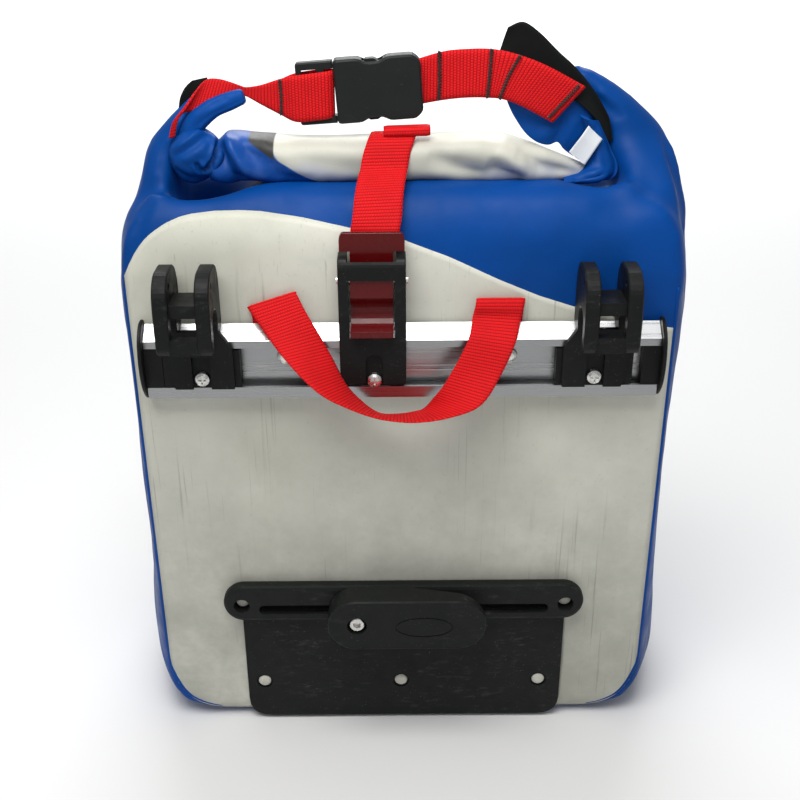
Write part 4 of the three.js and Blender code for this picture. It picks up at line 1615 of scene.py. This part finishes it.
@dataclass
class Straps:
    """The red webbing: closure straps, carry handle and the latch's pull strap.

    Attributes:
        half: Half the handle webbing's width, in millimetres.
        thick: The thickness of the closure's webbing.
        soft: The thickness of the handle's and the pull strap's softer webbing.
        thread: The radius of the sewing thread.
        stitch: The length of one zigzag stitch.
        fold_y: Where the handle folds over the rail, front to back.
        fold_z: The height of that fold.
    """

    half: float = 13.4
    thick: float = 1.6
    soft: float = 1.5
    thread: float = 0.7
    stitch: float = 1.5
    fold_y: float = -8.6
    fold_z: float = 309.0

    def closure_right(self) -> None:
        """The strap from the buckle to the right end of the mouth, with its stitching."""
        stations = [
            Station((6, 48.1, 425.4), (0.05, 0, 1), 12.8),
            Station((24, 48.2, 429.4), (0.0, 0, 1), 13.6),
            Station((38, 47.8, 430.8), (0, 0, 1), 13.6),
            Station((51, 47.0, 430.8), (0.08, 0, 1), 13.6),
            Station((62.5, 46.4, 428.8), (0.4, 0, 0.92), 13.2),
            Station((76, 46.2, 424.0), (0.6, 0, 0.8), 13.4),
            Station((97, 46.8, 413), (0.66, 0, 0.75), 13.6),
        ]
        strap = Ribbon("closure_webbing_right", stations, self.thick).build()
        settle(strap, Look.RED_WEB, ("closure_strap_right",))
        lines = {
            "stitch_right_a": ((22.0, 46.9, 443.2), (22.3, 46.9, 430), (22.0, 46.9, 416.2)),
            "stitch_right_b": ((51.4, 45.8, 444.4), (50.8, 45.7, 431), (49.8, 45.8, 417.4)),
            "stitch_right_c": ((67.6, 45.1, 440.8), (61.6, 45.1, 430), (56.8, 45.2, 416.8)),
            "stitch_right_d": ((102.0, 45.3, 424.2), (93.8, 45.1, 415.1), (85.6, 45.3, 406.2)),
        }
        for name, path in lines.items():
            thread = seam(name, path, self.thread, self.stitch)
            settle(thread, Look.BLACK_THREAD)

    def closure_left(self) -> None:
        """The strap from the buckle's bar, pinched and wrapped over the left spout."""
        stations = [
            Station((-131.4, 36.5, 398), (0.97, 0, 0.25), 1.8),
            Station((-129, 36.8, 406.4), (0.9, 0, 0.43), 2.0),
            Station((-125.4, 38.5, 411.4), (0.7, 0.1, 0.7), 2.8),
            Station((-119.6, 43.4, 417.4), (0.5, 0.1, 0.85), 7.4),
            Station((-114, 46.2, 420), (0.36, 0.25, 0.9), 9.2),
            Station((-106.5, 47.8, 421.4), (0.3, 0.3, 0.9), 7.6),
            Station((-99, 48.6, 422.2), (0.3, 0.3, 0.9), 4.8),
            Station((-93, 49, 422), (0.2, 0.2, 0.95), 2.9),
            Station((-88.6, 48.8, 421.2), (0.1, 0.1, 1), 2.6),
            Station((-80, 47.8, 419.6), (0.05, 0, 1), 5.6),
            Station((-69, 46.8, 418.4), (0, 0, 1), 10.2),
            Station((-60, 42.9, 418), (0, 0, 1), 13.0),
            Station((-50, 42.6, 419.0), (0, 0, 1), 13.3),
            Station((-42.5, 42.8, 419.9), (0, 0, 1), 13.3),
            Station((-39.2, 45.2, 420.2), (0, 0, 1), 13.3),
            Station((-38.6, 48.4, 420.3), (0, 0, 1), 13.3),
            Station((-40, 51.8, 420.1), (0, 0, 1), 13.3),
            Station((-46, 53.6, 419.4), (0, 0, 1), 13.3),
            Station((-60, 53.0, 418), (0, 0, 1), 12.8),
            Station((-68.5, 49.4, 417.6), (0, 0, 1), 10.4),
        ]
        strap = Ribbon("closure_webbing_left", stations, self.thick, step=1.2).build()
        settle(strap, Look.RED_WEB, ("closure_strap_left",))
        path = ((-68.8, 45.7, 428.2), (-68.4, 45.6, 418.4), (-68.9, 45.7, 408.6))
        thread = seam("stitch_left", path, self.thread, self.stitch)
        settle(thread, Look.BLACK_THREAD)

    def handle(self) -> None:
        """The carry handle: tails behind the rail, a fold over its top and a hanging loop."""
        lean = math.tan(math.radians(20))
        pairs = (
            ((-80, 297), (-52, 306)), ((-66, 283.5), (-43, 289.5)), ((-47, 267), (-33.5, 273)),
            ((-30, 257), (-24, 261.5)), ((-16, 251), (-14, 253.6)), ((-4, 248.8), (-4, 252.8)),
            ((8, 248.2), (6, 254)), ((26, 250.8), (13.5, 256.6)), ((45, 258.5), (21.5, 266)),
            ((58.5, 273), (28.5, 279.5)), ((66.5, 290), (36.5, 294.5)),
        )

        def hung(outer: tuple[float, float], inner: tuple[float, float]) -> Station:
            """A station of the hanging loop, on the plane that leans out from the fold.

            Args:
                outer: Where its outer edge appears, as (x, z).
                inner: Where its inner edge appears.

            Returns:
                The station, turned so that its full width fits between those edges.
            """
            x, z = (outer[0] + inner[0]) / 2, (outer[1] + inner[1]) / 2
            rise = (outer[1] - inner[1]) / 2
            flat = Vector(((outer[0] - inner[0]) / 2, rise * lean, rise))
            hidden = math.sqrt(max(0.5, self.half ** 2 - flat.length ** 2))
            side = flat + Vector((0, -0.885, 0.466)) * hidden
            ahead = hidden * smoothstep(250, 270, z) * 0.6
            y = self.fold_y - (self.fold_z - z) * lean - 0.9 - ahead
            return Station((x, y, z), tuple(side.normalized()), self.half)

        loop = [hung(outer, inner) for outer, inner in pairs]
        stations = [
            Station((-73, -1.1, 268), (-1, 0, 0), 13.8),
            Station((-73.2, -1.2, 290), (-1, 0, 0), 13.8),
            Station((-73.6, -1.6, 304), (-0.97, 0, -0.24), 13.8),
            Station((-74.6, -2.2, 312.0), (-0.95, 0, -0.31), 14.6),
            Station((-74.8, -3.4, 313.6), (-0.95, 0, -0.31), 14.9),
            Station((-74.2, -5.0, 312.4), (-0.95, 0, -0.31), 14.8),
            *loop,
            Station((54.6, -6.6, 302.0), (1, -0.03, -0.06), 14.0),
            Station((56.0, -6.0, 308.4), (1, 0, -0.02), 14.0),
            Station((56.7, -4.9, 312.0), (1, 0, 0), 14.1),
            Station((57, -3.4, 313.2), (1, 0, 0), 14.1),
            Station((56.9, -2.2, 311.8), (1, 0, 0), 14.0),
            Station((56.7, -1.7, 308), (1, 0, 0), 13.9),
            Station((56.4, -1.5, 301), (1, 0, 0), 13.8),
            Station((56, -1.2, 290), (1, 0, 0), 13.8), Station((56, -1.1, 268), (1, 0, 0), 13.8),
        ]
        strap = Ribbon("handle_webbing", stations, self.soft, step=1.3, columns=14).build()
        nodes = ("carry_handle", "handle_anchor_left", "handle_anchor_right")
        settle(strap, Look.RED_WEB, nodes, None)
        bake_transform(strap)

    def pull(self) -> None:
        """The pull strap: from the latch plate over the crown, folded back at its hem."""
        stations = [
            Station((-15, -6.0, 344), (1, 0, 0.02), 13.8),
            Station((-15, -5.4, 354), (1, 0, 0), 13.8),
            Station((-13.6, -1.6, 362), (0.99, 0.1, 0), 13.9),
            Station((-12.6, 6, 371.5), (0.98, 0.16, 0), 13.9),
            Station((-11.4, 15, 377.2), (0.98, 0.12, 0), 13.8),
            Station((-9.8, 24.5, 382.0), (0.985, 0.1, 0), 13.7),
            Station((-8.2, 28.4, 389.5), (0.985, 0.08, 0), 13.6),
            Station((-5.6, 33.0, 396.6), (0.99, 0.06, 0), 13.5),
            Station((-3.6, 41, 399.4), (0.99, 0.04, 0), 13.4),
        ]
        strap = Ribbon("pull_webbing", stations, self.soft, step=1.3, columns=12).build()
        settle(strap, Look.RED_WEB, ("pull_strap",), None)
        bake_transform(strap)
        hem = [
            Station((3.2, 39.5, 398.4), (1, 0.04, 0.02), 13.4),
            Station((3.4, 35.4, 398.6), (1, 0.04, 0.02), 13.4),
            Station((3.5, 33.6, 400.6), (1, 0.04, 0.02), 13.4),
            Station((3.5, 34.8, 402.6), (1, 0.04, 0.02), 13.4),
            Station((3.4, 40, 403), (1, 0.04, 0.02), 13.4),
        ]
        fold = Ribbon("pull_hem", hem, self.soft, step=0.8, columns=12).build()
        settle(fold, Look.RED_WEB)

    def build(self) -> None:
        """Builds and settles every strap."""
        self.closure_right()
        self.closure_left()
        self.handle()
        self.pull()


# ---- Hard parts ---------------------------------------------------------------------------


@dataclass
class HardParts:
    """The moulded and metal parts, which keep the frame's own solids with softened edges.

    Attributes:
        groups: For each finish, the radius of its nodes' edges and the nodes that take it.
        crease_angle: The angle from which an edge counts as sharp, in degrees.
    """

    groups: tuple[tuple[Look, float, tuple[str, ...]], ...] = (
        (Look.BLACK_PLASTIC, 0.5, ("hook_left", "hook_right", "lock_housing", "rail_cap_left",
                                   "rail_cap_right")),
        (Look.PLATE_PLASTIC, 0.35, ("backing_plate", "lower_track", "stay_arm")),
        (Look.BUCKLE_PLASTIC, 0.5, ("buckle_female", "buckle_male", "buckle_prong_upper",
                                   "buckle_prong_lower")),
        (Look.MAROON, 0.4, ("lock_pawl",)),
        (Look.RIVET_WHITE, 0.0, ("track_rivet_left", "track_rivet_right", "plate_rivet_left",
                                 "plate_rivet_middle", "plate_rivet_right")),
        (Look.RAIL, 0.25, ("rail",)),
        (Look.ZINC, 0.1, ("rail_rivet_left", "rail_rivet_right", "hook_screw_left", "hook_nut_left",
                          "hook_screw_right", "hook_nut_right", "lock_pin", "lock_spring",
                          "lock_screw", "lock_nut", "arm_bolt", "arm_nut")),
        (Look.BOARD, 0.2, ("inner_stiffener",)),
    )
    crease_angle: float = 34.0

    def soften(self, node: bpy.types.Object, radius: float) -> None:
        """Rounds the sharp edges of a node and smooths its curved faces.

        Args:
            node: The node to dress.
            radius: The radius of its edges, in millimetres, or 0 to leave them.
        """
        for polygon in node.data.polygons:
            polygon.use_smooth = True
        if radius:
            edge = node.modifiers.new("edge", "BEVEL")
            edge.width = radius * MM
            edge.segments = 2
            edge.limit_method = "ANGLE"
            edge.angle_limit = math.radians(self.crease_angle)
            edge.use_clamp_overlap = True
            edge.harden_normals = False
        keep = node.modifiers.new("keep", "WEIGHTED_NORMAL")
        keep.keep_sharp = True
        split = node.modifiers.new("split", "EDGE_SPLIT")
        split.split_angle = math.radians(self.crease_angle + 6)

    def build(self) -> None:
        """Dresses every node that stays."""
        for look, radius, names in self.groups:
            for name in names:
                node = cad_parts[name]
                self.soften(node, radius)
                WARDROBE.dress(node, look)
                LOG.info("%s: %s", name, look.name.lower())


# ---- Studio -------------------------------------------------------------------------------


@dataclass
class Studio:
    """Camera, light and floor.

    Attributes:
        eye: The camera's place, in metres.
        right: The camera's right, in the row frame.
        up: Its up.
        lens: Its focal length, in millimetres.
        sensor: The width of its sensor, in millimetres.
    """

    eye: Point = (-0.00245, -0.6705, 0.5523)
    right: Point = (0.99998, -0.00432, -0.00559)
    up: Point = (0.00693, 0.44618, 0.89492)
    lens: float = 50.93
    sensor: float = 36.0

    def camera(self) -> None:
        """Sets the camera."""
        data = bpy.data.cameras.new("camera")
        data.lens = self.lens
        data.sensor_width = self.sensor
        data.clip_start, data.clip_end = 0.02, 30.0
        made = bpy.data.objects.new("camera", data)
        x, y = Vector(self.right), Vector(self.up)
        z = x.cross(y)
        turn = Matrix((x, y, z)).transposed().to_4x4()
        made.matrix_world = Matrix.Translation(Vector(self.eye)) @ turn
        bpy.context.scene.collection.objects.link(made)
        bpy.context.scene.camera = made

    def lamp(self, name: str, place: Point, aim: Point, size: float, power: float,
             colour: Colour) -> None:
        """A square soft light, turned towards a point.

        Args:
            name: The light's name.
            place: Where it stands, in metres.
            aim: The point it is turned to.
            size: The length of its side, in metres.
            power: Its power, in watts.
            colour: Its colour.
        """
        data = bpy.data.lights.new(name, "AREA")
        data.size = size
        data.energy = power
        data.color = colour
        made = bpy.data.objects.new(name, data)
        made.location = place
        made.rotation_mode = "QUATERNION"
        made.rotation_quaternion = (Vector(aim) - Vector(place)).to_track_quat("-Z", "Y")
        bpy.context.scene.collection.objects.link(made)

    def build(self) -> None:
        """Sets up floor, lights and sky."""
        reach = 6.0
        corners = [(-reach, -reach, 0), (reach, -reach, 0), (reach, reach, 0), (-reach, reach, 0)]
        floor = new_piece("floor", corners, [(0, 1, 2, 3)])
        WARDROBE.dress(floor, Look.FLOOR)
        self.lamp("top_light", (-0.12, -0.40, 1.05), (0, 0.02, 0.25), 0.6, 9.5, (1.0, 0.99, 0.97))
        self.lamp("front_light", (0.4, -1.7, 0.8), (0, 0, 0.2), 1.0, 1.6, (0.98, 0.99, 1.0))
        self.lamp("floor_light", (0, 3.4, 2.4), (0, 2.6, 0), 3.0, 170, (1.0, 1.0, 1.0))
        bpy.context.scene.view_settings.view_transform = "Standard"
        world = bpy.data.worlds.new("sky")
        world.use_nodes = True
        sky = world.node_tree.nodes["Background"]
        sky.inputs["Color"].default_value = (0.95, 0.97, 1.0, 1.0)
        sky.inputs["Strength"].default_value = 0.36
        bpy.context.scene.world = world


def main() -> None:
    """Builds the scene: the studio, then the bag's sub-assemblies in order."""
    logging.basicConfig(level=logging.INFO, format="%(message)s")
    studio = Studio()
    studio.camera()
    BagBody().build()
    RolledMouth().build()
    Straps().build()
    HardParts().build()
    studio.build()
    bpy.context.view_layer.update()


if __name__ == "__main__":
    main()
